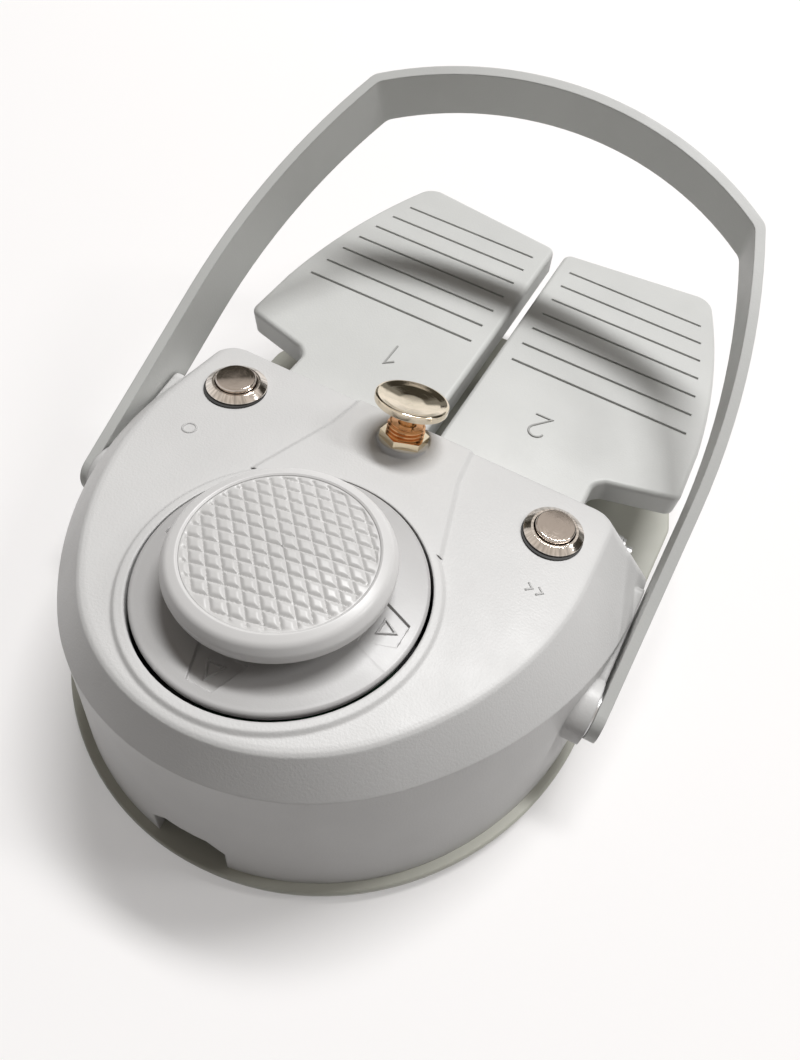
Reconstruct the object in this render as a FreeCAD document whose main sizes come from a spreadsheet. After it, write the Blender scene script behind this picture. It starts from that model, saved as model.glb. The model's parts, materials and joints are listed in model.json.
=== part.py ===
import FreeCAD, Part
import Sketcher
import math
import os

os.makedirs("parts", exist_ok=True)
doc = FreeCAD.newDocument("foot_switch")
Vector = FreeCAD.Vector
Rotation = FreeCAD.Rotation
X_AXIS = Vector(1, 0, 0)
Y_AXIS = Vector(0, 1, 0)
Z_AXIS = Vector(0, 0, 1)

# Driving dimensions in millimetres and degrees. Z is up from the floor, Y runs from the
# joystick end to the pedals, and the push buttons stand on the line Y = 0.
DIMENSIONS = {
    # base plate and feet
    "foot_drop": 2.0,
    "foot_radius": 9.0,
    "foot_pocket": 1.5,
    "foot_front_x": 72.0,
    "foot_front_y": -88.0,
    "foot_rear_x": 70.0,
    "foot_rear_y": 132.0,
    "base_thick": 5.0,
    "base_lip": 3.0,
    "base_corner": 12.0,
    "base_arc_y": -33.0,
    "base_flare": 3.2,
    "base_side_y": 78.0,
    "base_end_x": 88.0,
    "base_end_y": 155.0,
    "base_edge": 1.2,
    # cover shell
    "skirt_half": 104.8,
    "skirt_nose_less": 1.8,
    "skirt_cheek_more": 7.2,
    "skirt_arc_y": -28.9,
    "seam_height": 51.6,
    "seam_tilt": 10.0,
    "seam_nose_less": 19.5,
    "seam_cheek_more": 44.2,
    "seam_arc_y": 6.0,
    "deck_half": 82.7,
    "deck_nose_less": 13.7,
    "deck_cheek_more": 35.3,
    "deck_arc_y": -11.0,
    "deck_height": 74.4,
    "deck_tilt": 6.3,
    "cover_end_y": 20.0,
    "cover_wall": 3.0,
    "deck_skin": 3.5,
    "crease_round": 1.6,
    "corner_round": 5.0,
    "deck_corner": 7.0,
    "boss_radius": 4.5,
    "boss_front_x": 53.0,
    "boss_front_y": -84.5,
    "boss_rear_x": 82.0,
    "boss_rear_y": 2.0,
    "boss_sink": 5.5,
    "outlet_width": 28.0,
    "outlet_rise": 19.0,
    "outlet_corner": 6.0,
    "neck_arch_width": 148.0,
    "neck_arch_top": 54.5,
    # low platform that joins the joystick ring to the centre button
    "platform_rise": 1.2,
    "platform_slope": 1.8,
    "platform_mouth_x": 35.5,
    "platform_mouth_y": -30.0,
    "platform_waist_x": 25.5,
    "platform_waist_y": 4.0,
    "platform_end_x": 23.5,
    # cover screws and bracket screws
    "screw_radius": 2.0,
    "screw_head_radius": 3.8,
    "screw_grip": 14.0,
    "small_screw_radius": 1.5,
    "small_head_radius": 2.8,
    "small_head_thick": 1.8,
    "small_screw_grip": 4.0,
    # pedals
    "pedal_inner_x": 3.0,
    "pedal_gap": 0.5,
    "pedal_neck_x": 70.0,
    "pedal_neck_y": 47.0,
    "pedal_ear_in_x": 74.0,
    "pedal_ear_in_y": 50.5,
    "pedal_ear_x": 105.0,
    "pedal_ear_y": 58.5,
    "pedal_widest_y": 88.0,
    "pedal_end_x": 82.0,
    "pedal_end_y": 192.5,
    "pedal_end_inner_y": 182.5,
    "pedal_bulge": 320.0,
    "pedal_low": 40.5,
    "pedal_height": 52.0,
    "pedal_wall": 2.6,
    "pedal_skin": 3.0,
    "pedal_edge": 2.2,
    "pedal_corner": 10.0,
    "pedal_inner_corner": 4.8,
    "groove_first_y": 95.0,
    "groove_last_y": 168.3,
    "groove_count": 7,
    "groove_width": 1.3,
    "groove_depth": 0.9,
    "groove_inner_x": 10.5,
    "groove_side_gap": 8.0,
    "tread_range": 4.0,
    # pedal hinge
    "hinge_y": 26.5,
    "hinge_z": 46.0,
    "shaft_radius": 3.0,
    "shaft_half": 95.0,
    "shaft_fit": 0.1,
    "knuckle_radius": 5.5,
    "bush_radius": 4.3,
    "bush_length": 10.0,
    "bracket_inner_x": 84.0,
    "bracket_thick": 6.0,
    "bracket_foot_thick": 3.0,
    "bracket_foot_width": 15.0,
    "bracket_toe": 14.0,
    "bracket_eye_radius": 5.7,
    "middle_eye_radius": 5.3,
    "middle_foot": 25.0,
    "middle_thick": 3.0,
    "spacer_radius": 5.0,
    "clip_radius": 5.2,
    "clip_thick": 1.2,
    # pedal springs and switches
    "spring_x": 38.0,
    "spring_y": 92.0,
    "spring_radius": 7.0,
    "spring_wire": 1.6,
    "spring_turns": 5.0,
    "spring_seat_radius": 4.8,
    "spring_seat_rise": 3.0,
    "switch_x": 40.0,
    "switch_y": 62.0,
    "switch_length": 28.0,
    "switch_depth": 10.0,
    "switch_low": 23.0,
    "switch_height": 14.0,
    "plunger_radius": 2.0,
    "plunger_rise": 3.4,
    "plunger_hidden": 6.0,
    "plunger_gap": 0.3,
    "striker_radius": 4.0,
    "stand_sheet": 2.0,
    "stand_foot": 10.0,
    # joystick
    "ring_y": -63.3,
    "ring_bore": 45.3,
    "ring_lip": 49.2,
    "disc_radius": 43.9,
    "disc_top": 2.5,
    "disc_skin": 2.5,
    "disc_rim_low": -1.0,
    "disc_rim_wall": 2.4,
    "disc_hub_radius": 21.0,
    "disc_hub_top": 4.0,
    "window_inner": 29.5,
    "window_outer": 40.2,
    "window_inner_half": 8.3,
    "window_outer_half": 4.3,
    "window_depth": 0.5,
    "knob_neck_radius": 20.0,
    "knob_radius": 33.6,
    "knob_low": 8.6,
    "knob_waist": 13.2,
    "knob_top": 19.0,
    "knob_lip_radius": 29.3,
    "knob_round": 1.8,
    "pad_radius": 28.3,
    "pad_seat": 16.0,
    "pad_top": 19.8,
    "stem_radius": 4.0,
    "pivot_depth": 8.0,
    "hub_radius": 7.0,
    "cross_radius": 2.2,
    "gimbal_inner": 22.5,
    "gimbal_outer": 26.5,
    "gimbal_half_height": 2.6,
    "trunnion_reach": 32.5,
    "lug_inner": 27.4,
    "lug_outer": 31.6,
    "lug_half_width": 3.8,
    "cup_wall": 1.8,
    "cup_depth": 36.0,
    "cup_floor": 2.5,
    "cup_flange": 1.6,
    "cup_ear_reach": 54.5,
    "cup_ear_half": 5.5,
    "plate_radius": 13.0,
    "plate_low": -26.0,
    "plate_thick": 2.0,
    "centring_radius": 8.0,
    "centring_wire": 1.2,
    "centring_turns": 3.0,
    "board_inner": 12.0,
    "board_outer": 38.0,
    "board_thick": 1.5,
    "micro_inner": 17.5,
    "micro_length": 9.0,
    "micro_width": 7.0,
    "micro_height": 7.0,
    "micro_tip_gap": 2.4,
    "stick_range": 6.0,
    # push buttons
    "button_inset": 17.3,
    "bezel_radius": 11.0,
    "bezel_lip": 0.7,
    "bezel_top_radius": 8.5,
    "bezel_height": 2.3,
    "barrel_radius": 9.5,
    "barrel_depth": 20.0,
    "button_bore": 7.5,
    "button_radius": 7.25,
    "button_rise": 4.6,
    "button_travel": 1.8,
    "button_stem": 4.0,
    "gasket_thick": 0.6,
    "button_nut_across": 22.0,
    "button_nut_thick": 3.5,
    "block_radius": 8.6,
    "block_depth": 10.0,
    # centre press button
    "centre_y": 11.0,
    "centre_lean": 15.5,
    "centre_seat_radius": 9.9,
    "centre_seat_thick": 8.0,
    "centre_thread_radius": 7.0,
    "centre_thread_rise": 7.0,
    "centre_thread_depth": 14.0,
    "centre_nut_across": 16.0,
    "centre_nut_thick": 2.8,
    "centre_collar_radius": 7.7,
    "centre_room": 0.3,
    "centre_collar_thick": 3.0,
    "centre_bore": 3.2,
    "cap_stem_radius": 3.0,
    "cap_radius": 13.5,
    "cap_cone_low": 10.6,
    "cap_rim_low": 14.4,
    "cap_rim_thick": 2.0,
    "cap_dome": 1.6,
    "cap_travel": 3.0,
    "centre_switch_radius": 7.4,
    "centre_switch_depth": 12.0,
    # carrying handle
    "handle_pivot_y": -38.0,
    "handle_pivot_z": 38.0,
    "handle_rest": 22.6,
    "handle_strip": 20.0,
    "handle_thick": 4.1,
    "handle_clear": 1.1,
    "handle_bow_start": 81.0,
    "handle_side_bow": 318.0,
    "handle_end_bow": 143.0,
    "handle_corner": 7.0,
    "handle_end_round": 9.8,
    "pivot_gap": 1.1,
    "pivot_pad_radius": 13.0,
    "pivot_pad_root": 6.0,
    "fin_front_y": -31.0,
    "fin_rear_y": 10.0,
    "fin_front_z": 48.0,
    "fin_rear_z": 55.0,
    "fin_low_z": 20.0,
    "fin_thick": 3.9,
    "stop_distance": 35.0,
    "stop_radius": 2.5,
    "pivot_screw_radius": 4.0,
    "pivot_head_radius": 7.0,
    "pivot_head_thick": 2.0,
    "pivot_fit": 0.15,
    "washer_radius": 9.5,
    "washer_gap": 0.1,
    "pivot_screw_depth": 14.0,
    # wiring
    "terminal_length": 40.0,
    "terminal_depth": 10.0,
    "terminal_height": 12.0,
    "terminal_y": -96.0,
    "terminal_screws": 6,
    "clamp_y": -118.0,
    "clamp_length": 34.0,
    "clamp_depth": 7.0,
    "clamp_height": 9.0,
    "clamp_bore": 4.0,
}

sheet = doc.addObject("Spreadsheet::Sheet", "dims")
for row, (alias, number) in enumerate(DIMENSIONS.items(), 1):
    sheet.set("A%d" % row, alias)
    sheet.set("B%d" % row, str(number))
    sheet.setAlias("B%d" % row, alias)
doc.recompute()


class Size:
    """A size known both as a number and as an expression over the sheet."""

    def __init__(self, value, text):
        self.value = float(value)
        self.text = text

    def _with(self, other, sign, value):
        return Size(value, "(%s %s %s)" % (self.text, sign, as_size(other).text))

    def __add__(self, other):
        return self._with(other, "+", self.value + as_size(other).value)

    def __radd__(self, other):
        return as_size(other) + self

    def __sub__(self, other):
        return self._with(other, "-", self.value - as_size(other).value)

    def __rsub__(self, other):
        return as_size(other) - self

    def __mul__(self, other):
        return self._with(other, "*", self.value * as_size(other).value)

    def __rmul__(self, other):
        return as_size(other) * self

    def __truediv__(self, other):
        return self._with(other, "/", self.value / as_size(other).value)

    def __neg__(self):
        return Size(-self.value, "(-1 * %s)" % self.text)


def as_size(number):
    if isinstance(number, Size):
        return number
    return Size(number, "%r" % float(number))


def square_root(size):
    return Size(math.sqrt(size.value), "sqrt(%s)" % size.text)


def sine(angle):
    return Size(math.sin(math.radians(angle.value)), "sin(%s * 1 deg)" % angle.text)


def cosine(angle):
    return Size(math.cos(math.radians(angle.value)), "cos(%s * 1 deg)" % angle.text)


def tangent(angle):
    return Size(math.tan(math.radians(angle.value)), "tan(%s * 1 deg)" % angle.text)


class Sheet:
    """Reads a dimension by its alias."""

    def __getattr__(self, alias):
        return Size(sheet.get(alias), "dims.%s" % alias)


dim = Sheet()


bound_sizes = {}


def bind(target, path, size):
    """Ties one property of an object to the sheet."""
    bound_sizes[target.Name, path] = as_size(size)
    target.setExpression(path, as_size(size).text)


# Bodies and sketches


def body(name):
    made = doc.addObject("PartDesign::Body", name)
    made.Label = name
    return made


def origin_plane(owner, role):
    return next(feature for feature in owner.Origin.OriginFeatures if feature.Role == role)


def sketch(owner, role, lift=0.0, tilt=None):
    """A sketch on one of the body's own planes, lifted along its normal and tilted about X."""
    made = owner.newObject("Sketcher::SketchObject", owner.Name + "_sketch")
    made.AttachmentSupport = [(origin_plane(owner, role), "")]
    made.MapMode = "FlatFace"
    if tilt is None:
        made.AttachmentOffset = FreeCAD.Placement(Vector(0, 0, 0), Rotation(Z_AXIS, 0))
    else:
        made.AttachmentOffset = FreeCAD.Placement(Vector(0, 0, 0), Rotation(X_AXIS, -1))
        bind(made, "AttachmentOffset.Rotation.Angle", -tilt)
    bind(made, "AttachmentOffset.Base.z", lift)
    return made


def pin_point(drawing, geometry, end, x, y):
    """Binds one vertex of a sketch to two sizes."""
    for kind, size in (("DistanceX", as_size(x)), ("DistanceY", as_size(y))):
        if abs(size.value) < 1e-9 and "dims" not in size.text:
            axis = -2 if kind == "DistanceX" else -1
            drawing.addConstraint(Sketcher.Constraint("PointOnObject", geometry, end, axis))
        else:
            index = drawing.addConstraint(
                Sketcher.Constraint(kind, -1, 1, geometry, end, size.value))
            bind(drawing, "Constraints[%d]" % index, size)


def polygon(drawing, corners):
    """A closed outline with straight sides, every corner bound to the sheet."""
    corners = [(as_size(x), as_size(y)) for x, y in corners]
    points = [Vector(x.value, y.value, 0) for x, y in corners]
    sides = []
    for start, end in zip(points, points[1:] + points[:1]):
        sides.append(drawing.addGeometry(Part.LineSegment(start, end), False))
    for side, following in zip(sides, sides[1:] + sides[:1]):
        drawing.addConstraint(Sketcher.Constraint("Coincident", side, 2, following, 1))
    for side, (x, y) in zip(sides, corners):
        pin_point(drawing, side, 1, x, y)
    return drawing


def round_outline(drawing, radius, x=0.0, y=0.0):
    """A full circle."""
    x = as_size(x)
    y = as_size(y)
    circle = Part.Circle(Vector(x.value, y.value, 0), Z_AXIS, radius.value)
    index = drawing.addGeometry(circle, False)
    pin_point(drawing, index, 3, x, y)
    mark = drawing.addConstraint(Sketcher.Constraint("Radius", index, radius.value))
    bind(drawing, "Constraints[%d]" % mark, radius)
    return drawing


def arc(drawing, centre, radius, start, end, follows=False):
    """An arc about a bound centre; its radius is bound too unless it follows its end points."""
    centre = (as_size(centre[0]), as_size(centre[1]))
    middle = Vector(centre[0].value, centre[1].value, 0)
    angles = [math.atan2(point[1] - middle.y, point[0] - middle.x) for point in (start, end)]
    circle = Part.Circle(middle, Z_AXIS, as_size(radius).value)
    index = drawing.addGeometry(Part.ArcOfCircle(circle, angles[0], angles[1]), False)
    pin_point(drawing, index, 3, centre[0], centre[1])
    if not follows:
        mark = drawing.addConstraint(Sketcher.Constraint("Radius", index, as_size(radius).value))
        bind(drawing, "Constraints[%d]" % mark, radius)
    return index


def bow_arc(drawing, centre, radius, start, end, pinned):
    """An arc bound at one end and sideways at its centre; its other end follows a corner."""
    ends = [(as_size(point[0]), as_size(point[1])) for point in (start, end)]
    middle = Vector(centre[0].value, centre[1].value, 0)
    angles = [math.atan2(y.value - middle.y, x.value - middle.x) for x, y in ends]
    circle = Part.Circle(middle, Z_AXIS, radius.value)
    index = drawing.addGeometry(Part.ArcOfCircle(circle, angles[0], angles[1]), False)
    pin_point(drawing, index, pinned, *ends[pinned - 1])
    mark = drawing.addConstraint(Sketcher.Constraint("DistanceX", -1, 1, index, 3, middle.x))
    bind(drawing, "Constraints[%d]" % mark, centre[0])
    return index


def horseshoe(drawing, radius, arc_y, corners):
    """A half circle towards the joystick end, closed by straight sides through the corners."""
    left = (-radius.value, arc_y.value)
    right = (radius.value, arc_y.value)
    front = arc(drawing, (0.0, arc_y), radius, left, right)
    path = [right] + [(as_size(x).value, as_size(y).value) for x, y in corners] + [left]
    sides = []
    for start, end in zip(path, path[1:]):
        line = Part.LineSegment(Vector(start[0], start[1], 0), Vector(end[0], end[1], 0))
        sides.append(drawing.addGeometry(line, False))
    for side, following in zip(sides, sides[1:]):
        drawing.addConstraint(Sketcher.Constraint("Coincident", side, 2, following, 1))
    drawing.addConstraint(Sketcher.Constraint("Coincident", front, 2, sides[0], 1))
    drawing.addConstraint(Sketcher.Constraint("Coincident", sides[-1], 2, front, 1))
    for side, (x, y) in zip(sides, corners):
        pin_point(drawing, side, 2, x, y)
    for end in (1, 2):
        index = drawing.addConstraint(
            Sketcher.Constraint("DistanceY", -1, 1, front, end, arc_y.value))
        bind(drawing, "Constraints[%d]" % index, arc_y)
    return drawing


def pad(owner, drawing, length, both_ways=False, reverse=False):
    made = owner.newObject("PartDesign::Pad", owner.Name + "_pad")
    made.Profile = drawing
    bind(made, "Length", length)
    made.Midplane = both_ways
    made.Reversed = reverse
    drawing.Visibility = False
    return made


def pocket(owner, drawing, depth, reverse=False, through=False):
    made = owner.newObject("PartDesign::Pocket", owner.Name + "_pocket")
    made.Profile = drawing
    if through:
        made.Type = 1
    else:
        bind(made, "Length", depth)
    made.Reversed = reverse
    return made


def loft(owner, kind, sections):
    """Straight-sided loft through two or more outlines."""
    made = owner.newObject("PartDesign::" + kind, owner.Name + "_loft")
    made.Profile = sections[0]
    made.Sections = sections[1:]
    made.Ruled = True
    made.Closed = False
    return made


def turned(name, profile):
    """A body of revolution about its own Z axis from (radius, height) corners."""
    owner = body(name)
    drawing = polygon(sketch(owner, "XZ_Plane"), profile)
    spin = owner.newObject("PartDesign::Revolution", name + "_turn")
    spin.Profile = drawing
    spin.ReferenceAxis = (drawing, ["V_Axis"])
    spin.Angle = 360
    return owner


def soften(owner, radius, wanted, kind="Fillet"):
    """Rounds or bevels those edges of the body's tip that the test picks out."""
    doc.recompute()
    tip = owner.Tip
    names = ["Edge%d" % (number + 1) for number, edge in enumerate(tip.Shape.Edges) if wanted(edge)]
    made = owner.newObject("PartDesign::" + kind, owner.Name + "_edge")
    made.Base = (tip, names)
    if kind == "Fillet":
        bind(made, "Radius", radius)
    else:
        bind(made, "Size", radius)
    return made


# Plain solids and booleans


def cylinder(name, radius, height):
    made = doc.addObject("Part::Cylinder", name)
    bind(made, "Radius", radius)
    bind(made, "Height", height)
    return made


def box(name, length, width, height):
    made = doc.addObject("Part::Box", name)
    bind(made, "Length", length)
    bind(made, "Width", width)
    bind(made, "Height", height)
    return made


def hexagon(name, across, height):
    """A hexagonal bar measured across its flats."""
    made = doc.addObject("Part::Prism", name)
    made.Polygon = 6
    bind(made, "Circumradius", across / math.sqrt(3.0))
    bind(made, "Height", height)
    return made


def cut(name, base, tools):
    tools = list(tools)
    tool = tools[0] if len(tools) == 1 else fuse(name + "_tools", tools)
    made = doc.addObject("Part::Cut", name)
    made.Base = base
    made.Tool = tool
    made.Label = name
    return made


def fuse(name, pieces):
    made = doc.addObject("Part::MultiFuse", name)
    made.Shapes = list(pieces)
    made.Refine = True
    made.Label = name
    return made


def group(name, pieces):
    """Separate solids kept in one object."""
    made = doc.addObject("Part::Compound", name)
    made.Links = list(pieces)
    made.Label = name
    return made


def place(item, x=0.0, y=0.0, z=0.0, turn=None):
    """Puts an object at a bound position, optionally turned by a fixed rotation."""
    if turn is not None:
        item.Placement = FreeCAD.Placement(Vector(0, 0, 0), turn)
    for path, size in (("x", x), ("y", y), ("z", z)):
        bind(item, "Placement.Base." + path, size)
    return item


def along_x(item, x, y, z):
    """Lays an upright object along +X from the given point."""
    return place(item, x, y, z, Rotation(Y_AXIS, 90))


def on_deck(item, x=0.0, y=0.0, z=0.0):
    """Puts an object in the tilted frame of the cover's deck."""
    item.Placement = FreeCAD.Placement(Vector(0, 0, 0), Rotation(X_AXIS, -1))
    bind(item, "Placement.Rotation.Angle", -dim.deck_tilt)
    bind(item, "Placement.Base.x", x)
    bind(item, "Placement.Base.y", as_size(y) * cosine(dim.deck_tilt) + as_size(z) * sine(dim.deck_tilt))
    bind(item, "Placement.Base.z",
         dim.deck_height - as_size(y) * sine(dim.deck_tilt) + as_size(z) * cosine(dim.deck_tilt))
    return item


def drilled(name, base, radius, spots, low, depth):
    """Cuts one upright hole at each (x, y) spot."""
    drills = []
    for number, (x, y) in enumerate(spots):
        drill = cylinder("%s_drill_%d" % (name, number), radius, depth)
        drills.append(place(drill, x, y, low))
    return cut(name, base, drills)


base_top = dim.foot_drop + dim.base_thick
base_radius = dim.skirt_half + dim.base_lip
base_side_x = base_radius + dim.base_flare
pedal_start_y = dim.cover_end_y + dim.pedal_gap
button_x = dim.deck_half - dim.button_inset
handle_half = dim.skirt_half + dim.handle_clear
pad_face_x = handle_half - dim.pivot_gap
footprint_middle_y = (dim.pedal_end_y - dim.pedal_corner * 0.1 + dim.base_arc_y - base_radius) / 2.0
SIDES = (("left", -1.0), ("right", 1.0))

boss_spots = []
for sign in (-1.0, 1.0):
    boss_spots.append((sign * dim.boss_front_x, dim.boss_front_y))
    boss_spots.append((sign * dim.boss_rear_x, dim.boss_rear_y))

bracket_screw_x = dim.bracket_inner_x - dim.bracket_foot_width / 2.0
bracket_screw_y = dim.hinge_y + (dim.bracket_toe - dim.bracket_eye_radius) / 2.0
bracket_spots = []
for sign in (-1.0, 1.0):
    bracket_spots.append((sign * bracket_screw_x, bracket_screw_y))
    bracket_spots.append((0.0, dim.hinge_y + sign * dim.middle_foot * 0.75))


# Base plate, feet and screws


def base_plate():
    owner = body("base_blank")
    outline = sketch(owner, "XY_Plane", dim.foot_drop)
    corners = [(base_side_x, dim.base_side_y), (dim.base_end_x, dim.base_end_y),
               (-dim.base_end_x, dim.base_end_y), (-base_side_x, dim.base_side_y)]
    horseshoe(outline, base_radius, dim.base_arc_y, corners)
    pad(owner, outline, dim.base_thick)

    def upright_corner(edge):
        return len(edge.Vertexes) == 2 and abs(edge.tangentAt(edge.FirstParameter).z) > 0.99 \
            and edge.Vertexes[0].Y > dim.base_arc_y.value + 1.0

    soften(owner, dim.base_corner, upright_corner)

    def top_rim(edge):
        return min(vertex.Z for vertex in edge.Vertexes) > base_top.value - 0.01

    soften(owner, dim.base_edge, top_rim)
    seats = []
    for name, sign in SIDES:
        seat = cylinder("spring_seat_" + name, dim.spring_seat_radius, dim.spring_seat_rise)
        seats.append(place(seat, sign * dim.spring_x, dim.spring_y, base_top))
    solid = fuse("base_solid", [owner] + seats)
    tools = []
    for number, (x, y) in enumerate(boss_spots):
        hole = cylinder("cover_screw_hole_%d" % number, dim.screw_radius + dim.pivot_fit, dim.base_thick)
        tools.append(place(hole, x, y, dim.foot_drop))
        sink = doc.addObject("Part::Cone", "cover_screw_sink_%d" % number)
        bind(sink, "Radius1", dim.screw_head_radius + dim.pivot_fit)
        bind(sink, "Radius2", dim.screw_radius + dim.pivot_fit)
        bind(sink, "Height", dim.screw_head_radius - dim.screw_radius)
        tools.append(place(sink, x, y, dim.foot_drop))
    for number, (x, y) in enumerate(bracket_spots):
        hole = cylinder("bracket_screw_hole_%d" % number, dim.small_screw_radius, dim.small_screw_grip)
        tools.append(place(hole, x, y, base_top - dim.small_screw_grip))
    for number, (x, y) in enumerate(foot_spots()):
        seat = cylinder("foot_recess_%d" % number, dim.foot_radius, dim.foot_pocket)
        tools.append(place(seat, x, y, dim.foot_drop))
    return cut("base_plate", solid, tools)


def foot_spots():
    spots = []
    for sign in (-1.0, 1.0):
        spots.append((sign * dim.foot_front_x, dim.foot_front_y))
        spots.append((sign * dim.foot_rear_x, dim.foot_rear_y))
    return spots


def rubber_feet():
    feet = []
    for number, (x, y) in enumerate(foot_spots()):
        height = dim.foot_drop + dim.foot_pocket
        foot = turned("foot_%d" % number, [
            (0.0, 0.0), (dim.foot_radius - dim.foot_drop, 0.0), (dim.foot_radius, dim.foot_drop),
            (dim.foot_radius, height), (0.0, height)])
        feet.append(place(foot, x, y, 0.0))
    return group("rubber_feet", feet)


def base_screws():
    screws = []
    for number, (x, y) in enumerate(boss_spots):
        head = dim.screw_head_radius - dim.screw_radius
        top = dim.base_thick + dim.screw_grip
        screw = turned("cover_screw_%d" % number, [
            (0.0, 0.0), (dim.screw_head_radius, 0.0), (dim.screw_radius, head),
            (dim.screw_radius, top), (0.0, top)])
        screws.append(place(screw, x, y, dim.foot_drop))
    return group("base_screws", screws)


# Cover shell


def cover_outline(drawing, form, end, rounding):
    """Bowed nose, two flatter cheeks, straight sides and two rounded corners at the end."""
    reach, nose, cheek, arc_y = form
    spread = cheek - nose
    sunk = cheek - reach
    nose_y = arc_y - square_root(spread * spread - sunk * sunk)
    join_x = cheek * sunk / spread - sunk
    join_y = arc_y - cheek * (arc_y - nose_y) / spread
    shoulder = end - rounding
    inner = reach - rounding
    join_right = (join_x.value, join_y.value)
    join_left = (-join_x.value, join_y.value)
    front = arc(drawing, (0.0, nose_y), nose, join_left, join_right)
    right_cheek = arc(drawing, (-sunk, arc_y), cheek, join_right, (reach.value, arc_y.value), follows=True)
    left_cheek = arc(drawing, (sunk, arc_y), cheek, (-reach.value, arc_y.value), join_left, follows=True)
    near = arc(drawing, (inner, shoulder), rounding, (reach.value, shoulder.value),
               (inner.value, end.value))
    far = arc(drawing, (-inner, shoulder), rounding, (-inner.value, end.value),
              (-reach.value, shoulder.value))

    def line(start, finish):
        first = Vector(start[0].value, start[1].value, 0)
        second = Vector(finish[0].value, finish[1].value, 0)
        return drawing.addGeometry(Part.LineSegment(first, second), False)

    right_side = line((reach, arc_y), (reach, shoulder))
    end_side = line((inner, end), (-inner, end))
    left_side = line((-reach, shoulder), (-reach, arc_y))
    loop = (front, right_cheek, right_side, near, end_side, far, left_side, left_cheek)
    for item, following in zip(loop, loop[1:] + loop[:1]):
        drawing.addConstraint(Sketcher.Constraint("Coincident", item, 2, following, 1))
    fixed = ((front, 1, "DistanceX", -join_x), (front, 2, "DistanceX", join_x),
             (right_cheek, 2, "DistanceY", arc_y), (left_cheek, 1, "DistanceY", arc_y),
             (near, 1, "DistanceY", shoulder), (near, 2, "DistanceX", inner),
             (far, 1, "DistanceX", -inner), (far, 2, "DistanceY", shoulder))
    for item, item_end, kind, size in fixed:
        index = drawing.addConstraint(Sketcher.Constraint(kind, -1, 1, item, item_end, size.value))
        bind(drawing, "Constraints[%d]" % index, size)
    return drawing


def cover_section(owner, form, height, tilt, inset, corner, grow=0.0):
    """One outline of the shell, in its own tilted plane, ending at the cover's end."""
    half, nose_less, cheek_more, arc_y = form
    reach = half - inset + grow
    end = dim.cover_end_y - inset
    if tilt is None:
        drawing = sketch(owner, "XY_Plane", height)
    else:
        drawing = sketch(owner, "XY_Plane", height, tilt)
        end = end / cosine(tilt)
    curves = (reach, reach - nose_less, reach + cheek_more, arc_y)
    return cover_outline(drawing, curves, end, corner - inset * 0.6)


skirt_form = (dim.skirt_half, dim.skirt_nose_less, dim.skirt_cheek_more, dim.skirt_arc_y)
seam_form = (dim.skirt_half, dim.seam_nose_less, dim.seam_cheek_more, dim.seam_arc_y)
deck_form = (dim.deck_half, dim.deck_nose_less, dim.deck_cheek_more, dim.deck_arc_y)


def cover_blank():
    owner = body("cover_blank")
    flush = as_size(0.0)
    drop = dim.crease_round
    outer = [cover_section(owner, skirt_form, base_top, None, flush, dim.corner_round),
             cover_section(owner, seam_form, dim.seam_height, dim.seam_tilt, flush, dim.corner_round)]
    for share, sink in ((1.0, 0.6), (0.3, 0.15), (-0.6, 0.0)):
        outer.append(cover_section(owner, deck_form, dim.deck_height - drop * sink, dim.deck_tilt, flush,
                                   dim.deck_corner, drop * share))
    loft(owner, "AdditiveLoft", outer)
    return owner


def cover_hollow():
    owner = body("cover_hollow")
    wall = dim.cover_wall
    ceiling = dim.deck_height - dim.deck_skin / cosine(dim.deck_tilt)
    inner = [cover_section(owner, skirt_form, base_top, None, wall, dim.corner_round),
             cover_section(owner, seam_form, dim.seam_height - wall * 0.6, dim.seam_tilt, wall,
                           dim.corner_round),
             cover_section(owner, deck_form, ceiling, dim.deck_tilt, wall, dim.deck_corner)]
    loft(owner, "AdditiveLoft", inner)
    return owner


def deck_platform():
    """Low keyhole-shaped platform: a collar around the joystick and a neck to the cover's end."""
    owner = body("platform_neck")
    end = dim.cover_end_y / cosine(dim.deck_tilt)
    sections = []
    for lift, spread in ((-dim.platform_rise, dim.platform_slope * 2.0), (dim.platform_rise, as_size(0.0))):
        drawing = sketch(owner, "XY_Plane", lift)
        half = [(dim.platform_mouth_x + spread, dim.platform_mouth_y),
                (dim.platform_waist_x + spread, dim.platform_waist_y), (dim.platform_end_x + spread, end)]
        mirrored = [(-x, y) for x, y in reversed(half)]
        sections.append(polygon(drawing, half + mirrored))
    loft(owner, "AdditiveLoft", sections)
    low = -dim.platform_rise
    crest = dim.ring_lip - dim.platform_rise
    collar = turned("platform_collar", [
        (0.0, low), (dim.ring_lip, low), (dim.ring_lip, 0.0), (crest, dim.platform_rise),
        (0.0, dim.platform_rise)])
    return [on_deck(owner), on_deck(collar, 0.0, dim.ring_y, 0.0)]


def outlet_tool():
    """Bevelled arch through the front of the skirt where the cable leaves."""
    owner = body("outlet_tool")
    drawing = sketch(owner, "XZ_Plane", -dim.skirt_arc_y)
    half = dim.outlet_width / 2.0
    top = base_top + dim.outlet_rise
    below = base_top - 1.0
    polygon(drawing, [
        (-half, below), (half, below), (half, top - dim.outlet_corner), (half - dim.outlet_corner, top),
        (dim.outlet_corner - half, top), (-half, top - dim.outlet_corner)])
    pad(owner, drawing, dim.skirt_half * 1.1)
    return owner


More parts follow.
